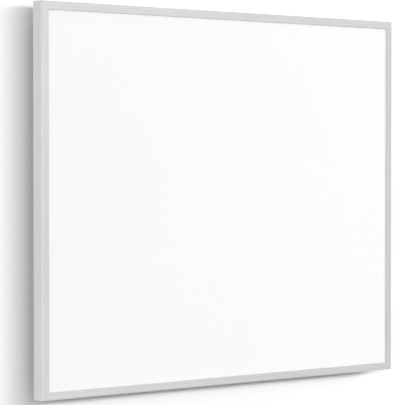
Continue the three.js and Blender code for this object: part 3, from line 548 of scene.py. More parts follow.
def moved(bm, place):
    bmesh.ops.transform(bm, matrix=place, verts=bm.verts)
    return bm


def at(x, y, z, turn=(0, 0, 0)):
    """A place, with turns in degrees about X, then Y, then Z."""
    place = Matrix.Translation((x, y, z))
    for axis, degrees in zip("ZYX", reversed(turn)):
        place = place @ Matrix.Rotation(math.radians(degrees), 4, axis)
    return place


# Turned shapes grow along Z; this turn lays them along Y, away from the room
TO_WALL = (-90, 0, 0)


def rod(radius, low, high, sides=40):
    """A plain round bar along Z."""
    return turned([(0, low), (radius, low), (radius, high), (0, high)], sides)


def drill_y(radius, low, high, x, z, sides=28):
    """A round bar along Y, to cut a hole with or to join on."""
    return moved(rod(radius, low, high, sides), at(x, 0, z, TO_WALL))


# %% [markdown]
# Holes are cut with Blender's Boolean modifier. A modifier needs objects, so both shapes
# become objects for a moment, the result is read back, and the objects go again. Cutting by
# hand with bisect_plane would do for straight cuts, but not for a keyhole.

# %% Joining and cutting
def beside(*shapes):
    """Several shapes in one bmesh, left as separate shells."""
    bm = shapes[0]
    for shape in shapes[1:]:
        mesh = bpy.data.meshes.new("scratch")
        shape.to_mesh(mesh)
        shape.free()
        bm.from_mesh(mesh)
        bpy.data.meshes.remove(mesh)
    return bm


def combined(shape, *others, how="DIFFERENCE"):
    """Cuts the others out of a shape, or joins or crosses them with it."""
    body = as_object("scratch", shape)
    tools = [as_object("scratch", other) for other in others]
    for tool in tools:
        step = body.modifiers.new("step", "BOOLEAN")
        step.operation = how
        step.solver = "EXACT"
        step.object = tool
    bm = bmesh.new()
    bm.from_object(body, bpy.context.evaluated_depsgraph_get())
    for thing in (body, *tools):
        mesh = thing.data
        bpy.data.objects.remove(thing)
        bpy.data.meshes.remove(mesh)
    return tidy(bm)


# %% The finished piece
SHARP = math.radians(34)
made = {}


def piece(name, bm, finish, node=None, body="panel"):
    """Makes a bmesh in millimetres a piece that rides on a body and stands for its node."""
    thing = as_object(name, tidy(bm), finish)
    mesh = thing.data
    mesh.transform(Matrix.Scale(MM, 4))
    mesh.shade_smooth()
    mesh.set_sharp_from_angle(angle=SHARP)
    weigh = thing.modifiers.new("weighted normals", "WEIGHTED_NORMAL")
    weigh.keep_sharp = True
    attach(thing, body)
    if node:
        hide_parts(node)
    made[name] = len(mesh.polygons)
    return thing


def coat(node, finish):
    """Gives a node that keeps its own shape a finish."""
    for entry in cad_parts[node].material_slots:
        entry.material = finish


def size_of(node):
    """A node's lowest and highest corners in millimetres."""
    low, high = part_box(node)
    return low / MM, high / MM


def centre_of(node):
    low, high = size_of(node)
    return (low + high) / 2


# %% [markdown]
# ## Anodised aluminium
# The frame is an aluminium extrusion, etched to a satin and anodised clear. Three things
# show on the real metal: fine die lines along its length, slow bands of lighter and darker
# grey, and a soft sheen without sparkle. A noise squeezed across the length makes the lines.
# The lines must follow each length, so there is one finish for the level lengths and one for
# the upright ones, made by the same function.

# %% Anodised finish
def anodised(name, along):
    finish = Finish(name, metallic=1.0)
    axis = "XYZ".index(along)
    fine = finish.mapped(scale=[3 if i == axis else 2600 for i in range(3)])
    broad = finish.mapped(scale=[1.5 if i == axis else 330 for i in range(3)])
    lines = finish.noise(1.0, 2, 0.6, fine)
    bands = finish.noise(1.0, 3, 0.55, broad)
    clouds = finish.noise(7.0, 2)
    tone = 0.45 * lines + 0.35 * bands + 0.2 * clouds
    spread = finish.ramp(tone, (0.3, 0.0), (0.7, 1.0))
    finish.set(base_color=finish.mix(spread, rgb(198, 197, 199), rgb(217, 216, 218)))
    finish.set(roughness=0.33 + 0.12 * lines + 0.05 * clouds)
    finish.bump(lines, 0.006)
    return finish.material


ANODISED_UPRIGHT = anodised("anodised_upright", "Z")
ANODISED_LEVEL = anodised("anodised_level", "X")

# %% [markdown]
# ## Frame lengths
# Each side of the frame is one extruded length, cut at 45 degrees at both ends. Its section
# has a lip round the white face, a thin outer wall, and a slot behind for the corner keys.
# The section is drawn as one outline and extruded, its long edges are rounded, the outer
# front edge most, and two slanting bisect planes make the mitres. All four lengths come from
# one function, turned about Y in quarters, as the saw would leave them.

# %% Section of the extrusion
WIDTH, HEIGHT, DEPTH = 600, 500, 20
FACE_Y = -42
LIP, LIP_T, WALL_T = 10.5, 1.4, 1.6
EDGE_R = 2.2
REAR_LIP, REAR_LIP_FRONT = 9, 18.6
WEB_FRONT, WEB_BACK = 14.6, 15.8
MITRE_GAP = 0.05
SECTION = [
    (0, 0), (LIP, 0), (LIP, LIP_T), (WALL_T, LIP_T),
    (WALL_T, WEB_FRONT), (REAR_LIP, WEB_FRONT), (REAR_LIP, WEB_BACK), (WALL_T, WEB_BACK),
    (WALL_T, REAR_LIP_FRONT), (REAR_LIP, REAR_LIP_FRONT), (REAR_LIP, DEPTH), (0, DEPTH),
]
print("section points:", len(SECTION))


# %% One frame length
def frame_length(length, half_span):
    """A length along Z whose outer face is at x = -half_span."""
    bm = prism(SECTION, -length / 2 - 1, length / 2 + 1)

    def soften(width, steps, test):
        along = [e for e in bm.edges if runs_along(e, "Z") and test(*middle(e).xy)]
        round_off(bm, along, width, steps)

    soften(EDGE_R, 7, lambda x, y: x < NEAR and y < NEAR)
    soften(0.45, 3, lambda x, y: x > LIP - NEAR and y < NEAR)
    soften(0.3, 2, lambda x, y: x > LIP - NEAR and y > LIP_T - NEAR)
    soften(0.4, 3, lambda x, y: y > DEPTH - NEAR)
    soften(0.3, 2, lambda x, y: abs(x - REAR_LIP) < NEAR and y < DEPTH - 1)
    soften(0.4, 2, lambda x, y: abs(x - WALL_T) < NEAR)
    moved(bm, at(-half_span, FACE_Y, 0))
    for end in (-1, 1):
        trim(bm, (-half_span, 0, end * (length / 2 - MITRE_GAP)), (1, 0, end))
    return bm


# %% Holes for the corner screws, and all four lengths
KEY_MID, KEY_SCREW_AT = 5.3, 24
HOLE_R, HOLE_FROM = 1.5, 18.3
SIDES = {"left": 0, "top": 1, "right": 2, "bottom": 3}
for side, quarter in SIDES.items():
    upright = quarter % 2 == 0
    length, half_span = (HEIGHT, WIDTH / 2) if upright else (WIDTH, HEIGHT / 2)
    bar = frame_length(length, half_span)
    drills = []
    for end in (-1, 1):
        z = end * (length / 2 - KEY_SCREW_AT)
        place = at(KEY_MID - half_span, FACE_Y + HOLE_FROM, z, TO_WALL)
        drills.append(moved(rod(HOLE_R, 0, 2, 20), place))
    bar = combined(bar, beside(*drills))
    moved(bar, Matrix.Rotation(quarter * math.pi / 2, 4, "Y"))
    finish = ANODISED_UPRIGHT if upright else ANODISED_LEVEL
    piece(f"frame_length_{side}", bar, finish, f"frame_{side}")
print("frame faces:", made)

# %% [markdown]
# ## White powder coat
# The face is steel sheet with a baked white powder coat. Close up such a coat is not flat:
# the powder flows into low, soft hills about a millimetre apart, called orange peel, with a
# finer grain on top. Two noises make the height, and a slow one moves the tone and the gloss
# by very little, so that the wide sheet does not look like paper.

# %% Powder coat finish
def powder_coat():
    finish = Finish("white_powder_coat", specular_ior_level=0.5)
    hills = finish.noise(900.0, 2)
    grain = finish.noise(3800.0, 2, 0.6)
    slow = finish.noise(4.0, 2)
    finish.set(base_color=finish.mix(slow, rgb(247, 247, 248), rgb(250, 250, 250)))
    finish.set(roughness=0.42 + 0.1 * slow + 0.08 * grain)
    finish.bump(0.7 * hills + 0.3 * grain, 0.02)
    return finish.material


WHITE_COAT = powder_coat()

# %% [markdown]
# ## Front plate
# The face is folded back at its four edges into a shallow tray, which gives the thin sheet
# its stiffness and hides its cut edges in the frame. A grid of one face is made, its rim is
# extruded backwards, the folds are rounded, and solidify gives the sheet its thickness. At the
# inner corners that leaves slivers thinner than a hair, so doubles are merged more widely.

# %% Front plate
PLATE_W, PLATE_H = 595.2, 495.2
PLATE_Y, PLATE_RIM = FACE_Y + 1.7, 11.5
SHEET_T = 1.2
FOLD_R = 1.5


def folded_tray():
    bm = bmesh.new()
    stretch = Matrix.Diagonal((PLATE_W, 1, PLATE_H, 1))
    bmesh.ops.create_grid(bm, x_segments=1, y_segments=1, size=0.5, matrix=stretch @ STANDING)
    edges = [e for e in bm.edges if e.is_boundary]
    rim = bmesh.ops.extrude_edge_only(bm, edges=edges)["geom"]
    bmesh.ops.translate(bm, verts=verts_in(rim), vec=(0, PLATE_RIM, 0))
    bm.edges.ensure_lookup_table()
    round_off(bm, [e for e in bm.edges if not e.is_boundary], FOLD_R, 5)
    bmesh.ops.recalc_face_normals(bm, faces=bm.faces)
    return moved(bm, at(0, PLATE_Y, 0))


tray = folded_tray()
face = max(tray.faces, key=lambda f: f.calc_area())
print("front faces the room:", face.normal.y < 0)
bmesh.ops.solidify(tray, geom=tray.faces[:], thickness=SHEET_T)
tidy(tray, 0.005)
low = min(v.co.y for v in tray.verts)
print("tray from", round(low, 2), "wide", round(2 * max(v.co.x for v in tray.verts), 2))
piece("front_tray", tray, WHITE_COAT, "front_plate")

# %% [markdown]
# ## Zinc
# The sheet steel behind is zinc-coated. Hot-dipped sheet, as on the back plate, shows a
# spangle: flat crystals about a centimetre wide that froze where they met. Each has its own
# grey, its own gloss and its own feathery grain, which runs its own way. Voronoi cells give
# the crystals, and a random angle from each cell turns the grain in it. Electroplated parts,
# such as the brackets and screws, have no spangle, but faint clouds and fine scratches.

# %% Spangled sheet and plated steel
def spangled_zinc():
    finish = Finish("spangled_zinc", metallic=1.0)
    flat = finish.mapped(scale=(1, 0.02, 1))

    def pull(vector, scale, reach):
        inputs = {"Vector": flat, "Scale": scale, "Detail": 2.0}
        bent = finish.node("ShaderNodeTexNoise", inputs=inputs, output="Color")
        inputs = {0: bent, 1: (reach, 0.0, reach), 2: vector}
        return finish.node("ShaderNodeVectorMath", {"operation": "MULTIPLY_ADD"}, inputs)

    ragged = pull(pull(flat, 70.0, 0.012), 600.0, 0.003)
    crystal = finish.cells(100.0, "Color", vector=ragged)
    grey, gloss, way = (
        finish.node("ShaderNodeSeparateColor", inputs={0: crystal}, output=n) for n in range(3)
    )
    inputs = {"Vector": flat, "Angle": 6.28 * way}
    swung = finish.node("ShaderNodeVectorRotate", {"rotation_type": "Y_AXIS"}, inputs)
    feather = finish.noise(1.0, 3, 0.65, finish.mapped(swung, scale=(260, 1, 1900)))
    frost = finish.noise(1300.0, 2, 0.6)
    tone = 0.42 * grey + 0.4 * feather + 0.18 * frost
    finish.set(base_color=finish.mix(tone, rgb(160, 164, 168), rgb(212, 214, 216)))
    finish.set(roughness=0.3 + 0.14 * gloss + 0.12 * feather)
    finish.bump(0.7 * feather + 0.3 * frost, 0.012)
    return finish.material


def plated_zinc():
    finish = Finish("plated_zinc", metallic=1.0)
    clouds = finish.noise(45.0, 3)
    grain = finish.noise(1600.0, 2)
    swung = finish.mapped(turn=(0.3, 0.8, 0.6))
    scratch = finish.noise(1.0, 2, vector=finish.mapped(swung, scale=(90, 2500, 2500)))
    worn = finish.ramp(scratch, (0.6, 0.0), (0.72, 1.0))
    body = finish.mix(clouds, rgb(196, 199, 203), rgb(216, 217, 216))
    finish.set(base_color=finish.mix(0.35 * worn, body, rgb(236, 236, 234)))
    finish.set(roughness=0.26 + 0.12 * clouds + 0.08 * grain)
    finish.bump(0.5 * grain + 0.5 * worn, 0.008)
    return finish.material


SPANGLED = spangled_zinc()
PLATED = plated_zinc()
coat("back_plate", SPANGLED)

# %% [markdown]
# ## Hanging brackets
# Four hat-shaped brackets carry the heater. Each is a strip folded four times, riveted on by
# its two feet, with a keyhole in its bridge that drops over a screw in the wall. The strip is
# drawn as a line and extruded upwards, its folds are rounded, outside corners more than
# inside ones, and solidify gives the thickness. Only the keyhole needs a Boolean cut.

# %% Bracket
BRACKET_X, BRACKET_Z = 200, 160
BRACKET_DEEP, BRACKET_LONG, BRACKET_T = 27.4, 60, 1.5
BRIDGE_HALF, FOOT_END = 14, 27
FOOT_MID, FOOT_Y = 20.5, BRACKET_T - BRACKET_DEEP
STRIP = [
    (-FOOT_END, FOOT_Y), (-BRIDGE_HALF, FOOT_Y), (-BRIDGE_HALF, 0),
    (BRIDGE_HALF, 0), (BRIDGE_HALF, FOOT_Y), (FOOT_END, FOOT_Y),
]
MOUTH_R, SLOT_R, TRAVEL = 5, 2.5, 14
RIVET_HOLE_R = 2.3


def keyhole():
    """Round mouth below, slot above, through the bridge."""
    mouth = drill_y(MOUTH_R, -3, 1, 0, -TRAVEL / 2, 48)
    slot = drill_y(SLOT_R, -3, 1, 0, TRAVEL / 2, 32)
    neck = block((-SLOT_R, -3, -TRAVEL / 2), (SLOT_R, 1, TRAVEL / 2))
    return combined(mouth, slot, neck, how="UNION")


def bracket_hat():
    bm = bmesh.new()
    verts = [bm.verts.new((x, y, -BRACKET_LONG / 2)) for x, y in STRIP]
    line = [bm.edges.new(pair) for pair in zip(verts, verts[1:])]
    strip = bmesh.ops.extrude_edge_only(bm, edges=line)["geom"]
    bmesh.ops.translate(bm, verts=verts_in(strip), vec=(0, 0, BRACKET_LONG))
    folds = [e for e in bm.edges if runs_along(e, "Z") and not e.is_boundary]
    round_off(bm, [e for e in folds if middle(e).y > -1], BRACKET_T + 1, 5)
    folds = [e for e in bm.edges if runs_along(e, "Z") and not e.is_boundary]
    round_off(bm, [e for e in folds if e.calc_face_angle() > 1], 1, 5)
    bmesh.ops.recalc_face_normals(bm, faces=bm.faces)
    bridge = max(bm.faces, key=lambda f: f.calc_center_median().y)
    if bridge.normal.y < 0:
        bmesh.ops.reverse_faces(bm, faces=bm.faces)
    bmesh.ops.solidify(bm, geom=bm.faces[:], thickness=BRACKET_T)
    corners = [e for e in bm.edges if runs_along(e, "Y") and abs(middle(e).x) > FOOT_END - NEAR]
    round_off(bm, corners, 3, 5)
    rivet_holes = [
        drill_y(RIVET_HOLE_R, -BRACKET_DEEP - 1, -BRACKET_DEEP + 3, x, 0)
        for x in (-FOOT_MID, FOOT_MID)
    ]
    bm = combined(bm, keyhole(), beside(*rivet_holes))
    round_off(bm, sharp_edges(bm, 70), 0.18, 2)
    return bm


hat = bracket_hat()
depths = [v.co.y for v in hat.verts]
print("bracket depth:", round(min(depths), 2), "to", round(max(depths), 2))
CORNERS = {
    "bottom_left": (-1, -1), "top_left": (-1, 1), "top_right": (1, 1), "bottom_right": (1, -1),
}
for corner, (x, z) in CORNERS.items():
    shape = moved(hat.copy(), at(x * BRACKET_X, 0, z * BRACKET_Z))
    piece(f"bracket_hat_{corner}", shape, PLATED, f"bracket_{corner}")
hat.free()

# %% [markdown]
# ## Blind rivets
# Each foot is held by two blind rivets: a low domed head with the broken pulling pin sunk in
# its middle, and a barrel that has spread behind the plate. All of it is round, so one line
# of points is spun about the rivet's axis.

# %% Rivets
HEAD_UNDER = -25.6
RIVET_LINE = [
    (0, -5.6), (1.6, -5.6), (2.5, -5.3), (2.9, -4.7), (2.9, -3.9), (2.6, -3.4), (2, -3.1),
    (2, 0), (3.4, 0), (3.4, 0.25), (3.15, 0.6), (2.6, 0.92), (1.9, 1.12), (1.35, 1.2),
    (1.1, 1.12), (1.0, 0.9), (1.0, 0.55), (0.9, 0.5), (0.8, 0.62), (0.3, 0.72), (0, 0.66),
]
rivet_shape = turned(RIVET_LINE, 32)
for corner, (x, z) in CORNERS.items():
    for number, side in ((1, -1), (2, 1)):
        place = at(x * BRACKET_X + side * FOOT_MID, HEAD_UNDER, z * BRACKET_Z, TO_WALL)
        shape = moved(rivet_shape.copy(), place)
        name = f"rivet_{corner}_{number}"
        piece(f"blind_{name}", shape, PLATED, name)
print("rivet faces:", len(rivet_shape.faces))
rivet_shape.free()

# %% [markdown]
# ## Screws
# All the screws are pan heads with a cross recess and a rolled thread. The head is a spun
# line. The recess is two crossed wedges, narrower at the bottom, cut out of it. The thread is
# a zigzag line spun one full turn while it climbs one pitch: merging the doubles closes it
# into a true helix, and two bisect planes trim its ends flat.

# %% Thread
def helix(major, minor, pitch, low, high, steps=20):
    """A threaded bar along Z from low to high."""
    bm = bmesh.new()
    turns = math.ceil((high - low) / pitch) + 3
    start = low - 1.5 * pitch
    line = []
    for i in range(turns):
        z = start + i * pitch
        line += [(minor, z), (major, z + 0.42 * pitch), (major, z + 0.58 * pitch)]
    line.append((minor, start + turns * pitch))
    verts = [bm.verts.new((r, 0, z)) for r, z in line]
    edges = [bm.edges.new(pair) for pair in zip(verts, verts[1:])]
    bmesh.ops.spin(
        bm, geom=verts + edges, cent=(0, 0, 0), axis=(0, 0, 1), dvec=(0, 0, pitch / steps),
        angle=2 * math.pi, steps=steps, use_merge=False,
    )
    bmesh.ops.remove_doubles(bm, verts=bm.verts, dist=0.001)
    for height, way in ((low, -1), (high, 1)):
        trim(bm, (0, 0, height), (0, 0, way))
    return tidy(bm)


# %% Pan-head screw
def cross_recess(reach, floor, top):
    """Two crossed wedges, tapered towards the floor of the recess."""
    arms = []
    for turn in (0, 90):
        arm = block((-reach, -reach * 0.3, floor), (reach, reach * 0.3, top))
        bottom = [v for v in arm.verts if v.co.z < floor + 0.01]
        bmesh.ops.scale(arm, vec=(0.55, 0.6, 1), verts=bottom)
        arms.append(moved(arm, at(0, 0, 0, (0, 0, turn))))
    return combined(arms[0], arms[1], how="UNION")


def pan_screw(shank, head, height, length, pitch):
    """A screw with its head's underside at z = 0 and its head upwards."""
    dome = turned([
        (0, 0), (head * 0.96, 0), (head, height * 0.08), (head, height * 0.45),
        (head * 0.95, height * 0.68), (head * 0.84, height * 0.86),
        (head * 0.66, height * 0.97), (head * 0.4, height), (0, height),
    ], 32)
    dome = combined(dome, cross_recess(head * 0.62, height * 0.35, height * 1.5))
    thread = helix(shank, shank * 0.78, pitch, -length, -0.02)
    return beside(dome, thread)


def set_screw(name, kind, place, turn, node):
    """A plated screw whose head has its underside at a place and points to the wall."""
    shape = moved(pan_screw(*kind), at(*place, (-90, turn, 0)))
    piece(name, shape, PLATED, node)


# Shank and head radius, head height, length and pitch
CORNER_SCREW = (1.2, 2.6, 1.6, 3.9, 0.8)
HEAD_GAP = 0.3
LIP_REAR = FACE_Y + DEPTH + HEAD_GAP
for corner in CORNERS:
    for number in (1, 2):
        node = f"corner_screw_{corner}_{number}"
        x, _, z = centre_of(node)
        name = f"frame_screw_{corner}_{number}"
        set_screw(name, CORNER_SCREW, (x, LIP_REAR, z), 17 * number, node)
print("screw faces:", made["frame_screw_top_left_1"])

# %% [markdown]
# ## Moulded plastics
# The terminal box is a warm white moulding, the gland a grey one and the switch a black one.
# Moulds are spark-eroded to a fine even grain, which shows as a soft, broken sheen. One
# function makes them all from a colour, a gloss and a grain size, with slow clouds of tone
# where the melt flowed, and a few pale rubs for the ones that are handled.

# %% Plastic finish
def moulded(name, dark, light, rough, grain=2600.0, depth=0.012, rubs=0.0):
    finish = Finish(name, specular_ior_level=0.5)
    cells = finish.cells(grain)
    fine = finish.noise(grain * 1.7, 2)
    flow = finish.noise(14.0, 3)
    body = finish.mix(finish.ramp(flow, (0.3, 0.0), (0.7, 1.0)), dark, light)
    if rubs:
        swung = finish.mapped(turn=(0.4, 0.2, 0.9))
        scuff = finish.noise(1.0, 3, 0.6, finish.mapped(swung, scale=(60, 900, 900)))
        worn = finish.ramp(scuff, (0.62, 0.0), (0.74, 1.0))
        pale = tuple(0.5 * c + 0.5 for c in light[:3]) + (1.0,)
        body = finish.mix(rubs * worn, body, pale)
    finish.set(base_color=body, roughness=rough - 0.06 + 0.12 * fine)
    finish.bump(0.6 * cells + 0.4 * fine, depth)
    return finish.material


BOX_WHITE = moulded("box_white_plastic", rgb(226, 226, 221), rgb(234, 233, 228), 0.48)
GLAND_GREY = moulded(
    "gland_grey_plastic", rgb(104, 108, 112), rgb(118, 121, 125), 0.5,
    grain=2200.0, depth=0.015, rubs=0.08,
)
SWITCH_BLACK = moulded(
    "switch_black_plastic", rgb(24, 25, 27), rgb(34, 35, 37), 0.36,
    grain=3200.0, depth=0.008, rubs=0.03,
)

# %% [markdown]
# ## Terminal box
# The box is a tray with its open side to the wall. A block gets its upright corners rounded,
# its open face is inset by the wall's thickness, and the inset face is pushed down to the
# floor: the quickest way to a box with even walls. The screw bosses in its corners and the
# ribs beside the terminal block are joined on, and every opening is cut in one pass.

# %% Box base
BOX_X, BOX_Z = 90, -185
BOX_W, BOX_H, BOX_WALL = 120, 56, 2
BOX_FRONT, BOX_FLOOR, BOX_RIM = -27.4, -25.4, -5.7
BOSS_X, BOSS_Z, BOSS_TOP = 54.6, 22.6, -6.2
BOX_CORNER_R = 3
HALF_W, HALF_H = BOX_W / 2, BOX_H / 2


def bosses(radius, low, high, sides=24):
    """Four round bars along Y, at the box's corners."""
    return beside(*(
        drill_y(radius, low, high, BOX_X + x * BOSS_X, BOX_Z + z * BOSS_Z, sides)
        for x, z in CORNERS.values()
    ))


def box_outline(front, rear):
    """A block with the box's outline."""
    low = (BOX_X - HALF_W, front, BOX_Z - HALF_H)
    high = (BOX_X + HALF_W, rear, BOX_Z + HALF_H)
    return rounded_block(low, high, "Y", BOX_CORNER_R, 6)


def box_base():
    bm = box_outline(BOX_FRONT, BOX_RIM)
    round_off(bm, [e for e in sharp_edges(bm) if middle(e).y < BOX_FRONT + NEAR], 0.8, 3)
    rim = max(bm.faces, key=lambda f: f.calc_center_median().y)
    bmesh.ops.inset_region(bm, faces=[rim], thickness=BOX_WALL, use_even_offset=True)
    inside = bmesh.ops.extrude_face_region(bm, geom=[rim])["geom"]
    bmesh.ops.delete(bm, geom=[rim], context="FACES_ONLY")
    bmesh.ops.translate(bm, verts=verts_in(inside), vec=(0, BOX_FLOOR - BOX_RIM, 0))
    return tidy(bm)


base = box_base()
print("open box: lowest y", round(min(v.co.y for v in base.verts), 2), "faces", len(base.faces))

# %% Bosses, ribs and openings
GLAND_X, SWITCH_X, MID_Y = 60, 120, -15.4
LOWER_Z = -213
EARTH_X, EARTH_Z = 46, -169
GROMMET_X, GROMMET_Z = 124, -170
# Place across and turn of each screw that holds the box
BOX_SCREWS = {"left": (41, 8), "right": (139, 31)}
GLAND_PLACE = at(GLAND_X, MID_Y, LOWER_Z)
RIBS = [block((x, BOX_FLOOR - 0.5, -190), (x + 2, BOX_FLOOR + 8, -178)) for x in (52.7, 89.3)]
base = combined(base, bosses(3.7, BOX_FLOOR - 0.5, BOSS_TOP), beside(*RIBS), how="UNION")
openings = [
    bosses(1.5, -17, -5, 20),
    *(drill_y(1.8, -28, -25, x, BOX_Z) for x, _ in BOX_SCREWS.values()),
    drill_y(2.2, -28, -25, EARTH_X, EARTH_Z),
    drill_y(8.5, -28, -25, GROMMET_X, GROMMET_Z, 40),
    moved(rod(8.1, -1, 3), GLAND_PLACE),
    block(
        (SWITCH_X - 9.8, MID_Y - 6.8, LOWER_Z - 1), (SWITCH_X + 9.8, MID_Y + 6.8, LOWER_Z + 3),
    ),
]
base = combined(base, beside(*openings))
round_off(base, [e for e in sharp_edges(base, 70) if middle(e).y > BOX_RIM - NEAR], 0.3, 2)
piece("terminal_box_tray", base, BOX_WHITE, "terminal_box_base")

# %% [markdown]
# The lid is a plate with the same rounded corners and a shallow sunk panel, which keeps a
# large flat moulding from looking wavy. Its screws sit in counterbores, and three tabs behind
# it slip inside the box's walls. The sunk panel could be an inset face pushed in, but an
# inset wider than the corners' radius makes their arcs cross, so a thin block is cut out.

# %% Box lid
LID_FRONT, LID_REAR = -5.4, -3
HEAD_SEAT = -4.4


def box_lid():
    bm = box_outline(LID_FRONT, LID_REAR)
    round_off(bm, [e for e in sharp_edges(bm) if middle(e).y > LID_REAR - NEAR], 0.7, 4)
    low = (BOX_X - 47, LID_REAR - 0.35, BOX_Z - 23)
    high = (BOX_X + 47, LID_REAR + 1, BOX_Z + 23)
    sunk = rounded_block(low, high, "Y", 2.5, 5)
    round_off(sunk, [e for e in sharp_edges(sunk) if middle(e).y < LID_REAR], 0.3, 2)
    spans = [((-57.7, -15), (-56.5, 15)), ((56.5, -15), (57.7, 15)), ((-15, 24.5), (15, 25.7))]
    front, rear = LID_FRONT - 3, LID_FRONT + 0.5
    tabs = [
        block((BOX_X + x, front, BOX_Z + z), (BOX_X + far_x, rear, BOX_Z + far_z))
        for (x, z), (far_x, far_z) in spans
    ]
    bm = combined(tidy(bm), beside(*tabs), how="UNION")
    bm = combined(bm, tidy(sunk), bosses(1.5, -9, -2, 24), bosses(3.0, HEAD_SEAT, -2, 32))
    round_off(bm, [e for e in sharp_edges(bm, 70) if middle(e).y > HEAD_SEAT + 1.2], 0.2, 2)
    return bm


piece("terminal_box_cover", box_lid(), BOX_WHITE, "terminal_box_lid")
LID_SCREW, BOX_SCREW = (1.2, 2.7, 1.1, 11, 1.0), (1.5, 3, 1.8, 5.9, 1.1)
for number in (1, 2, 3, 4):
    node = f"lid_screw_{number}"
    x, _, z = centre_of(node)
    place = (x, HEAD_SEAT + HEAD_GAP, z)
    set_screw(f"cover_screw_{number}", LID_SCREW, place, 23 * number, node)
for side, (x, turn) in BOX_SCREWS.items():
    place = (x, BOX_FLOOR + HEAD_GAP, BOX_Z)
    set_screw(f"tray_screw_{side}", BOX_SCREW, place, turn, f"box_screw_{side}")
print("cover faces:", made["terminal_box_cover"])

# %% [markdown]
# ## Cable gland
# The mains cable would enter here, through a gland that clamps it. Its body has a thread that
# passes into the box, a hexagonal collar and a plain neck. A lock nut grips it inside, and a
# domed cap nut squeezes a rubber seal round the cable. The hexagons are six-sided turned
# shapes crossed with a fine turned shape, which leaves the arcs that a real nut's chamfer
# cuts on its flats.

# %% Gland body and lock nut
def corner_radius(across):
    """How far a hexagon's corners are from its middle, from its width across flats."""
    return across / 2 / math.cos(math.pi / 6)


def hexagon(across, low, high, bevel):
    """A six-sided nut blank, its corners chamfered top and bottom."""
    corner = corner_radius(across)
    blank = rod(corner, low, high, 6)
    dish = turned([
        (0, low), (across / 2 - 0.1, low), (corner, low + bevel), (corner, high - bevel),
        (across / 2 - 0.1, high), (0, high),
    ], 48)
    return combined(blank, dish, how="INTERSECT")


def gland_piece(name, bm, node):
    piece(name, moved(bm, GLAND_PLACE), GLAND_GREY, node)


GLAND_ACROSS, NUT_ACROSS = 19, 18
collar = hexagon(GLAND_ACROSS, -4.8, -0.3, 0.9)
neck = turned([(0, -11.8), (6.7, -11.8), (7.2, -11.3), (7.2, -4.5), (0, -4.5)], 40)
thread = helix(major=7.8, minor=7.15, pitch=1.5, low=-0.6, high=10, steps=36)
body = combined(collar, neck, thread, how="UNION")
body = combined(body, rod(3.6, -13, 11))
gland_piece("gland_body_moulding", body, "gland_body")
nut = combined(hexagon(NUT_ACROSS, 2.3, 6.3, 0.8), rod(8.1, 1, 8))
round_off(nut, [e for e in sharp_edges(nut, 60) if math.hypot(*middle(e).xy) < 8.3], 0.25, 2)
gland_piece("gland_nut_inside", nut, "gland_lock_nut")


# %% Seal and cap nut
def rubber(name, dark, light):
    finish = Finish(name, specular_ior_level=0.4)
    bloom = finish.noise(220.0, 4, 0.6)
    pores = finish.cells(4200.0)
    finish.set(base_color=finish.mix(finish.ramp(bloom, (0.35, 0.0), (0.75, 1.0)), dark, light))
    finish.set(roughness=0.7 + 0.2 * bloom)
    finish.bump(0.5 * pores + 0.5 * bloom, 0.02)
    return finish.material


RUBBER = rubber("black_rubber", rgb(22, 22, 23), rgb(40, 40, 41))
seal = turned([
    (3.5, -16.8), (3.8, -17.1), (6.2, -17.1), (6.6, -16.7), (6.6, -12.5),
    (6.2, -12.1), (3.8, -12.1), (3.5, -12.4), (3.5, -16.8),
], 40)
piece("gland_sealing_ring", moved(seal, GLAND_PLACE), RUBBER, "gland_seal")

CAP_LOW, CAP_HIGH = -19.8, -5.1
corner = corner_radius(GLAND_ACROSS)
cap_dome = turned([
    (0, CAP_LOW), (7.0, CAP_LOW), (8.2, CAP_LOW + 0.25), (9.2, CAP_LOW + 0.9),
    (9.9, CAP_LOW + 1.8), (10.4, CAP_LOW + 2.9), (corner, CAP_LOW + 4.1),
    (corner, CAP_HIGH - 0.8), (9.6, CAP_HIGH), (0, CAP_HIGH),
], 48)
cap = combined(rod(corner, CAP_LOW, CAP_HIGH, 6), cap_dome, how="INTERSECT")
cap = combined(cap, rod(7.5, -17.4, -4))
mouth = turned([(0, -21), (4.9, -21), (4.9, -19.8), (4.2, -19.1), (4.2, -16), (0, -16)], 40)
cap = combined(cap, mouth)
gland_piece("gland_dome_nut", cap, "gland_cap_nut")
print("gland faces:", {name: made[name] for name in made if "gland" in name})

# %% [markdown]
# ## Rocker switch
# The switch snaps into the box's lower wall. Its housing has a flat bezel with softly rounded
# edges round a deep well. The rocker is a bar whose two faces meet in a shallow valley over
# the pivot, so that the pressed half lies level with the bezel. The marks for on and off are
# a plain line and a ring, printed white: they are drawn in the finish, from the distance of
# each point to the mark.

# %% Switch housing
BEZEL_LOW, BEZEL_HIGH, SWITCH_TOP = -215.3, -213.3, -201.3
PIVOT_Z = BEZEL_LOW + 3
WIRE_X = 115.25


def switch_block(half_x, half_y, low_z, high_z, width, steps):
    """A block round the switch's middle line, its upright edges rounded."""
    low = (SWITCH_X - half_x, MID_Y - half_y, low_z)
    high = (SWITCH_X + half_x, MID_Y + half_y, high_z)
    return rounded_block(low, high, "Z", width, steps)


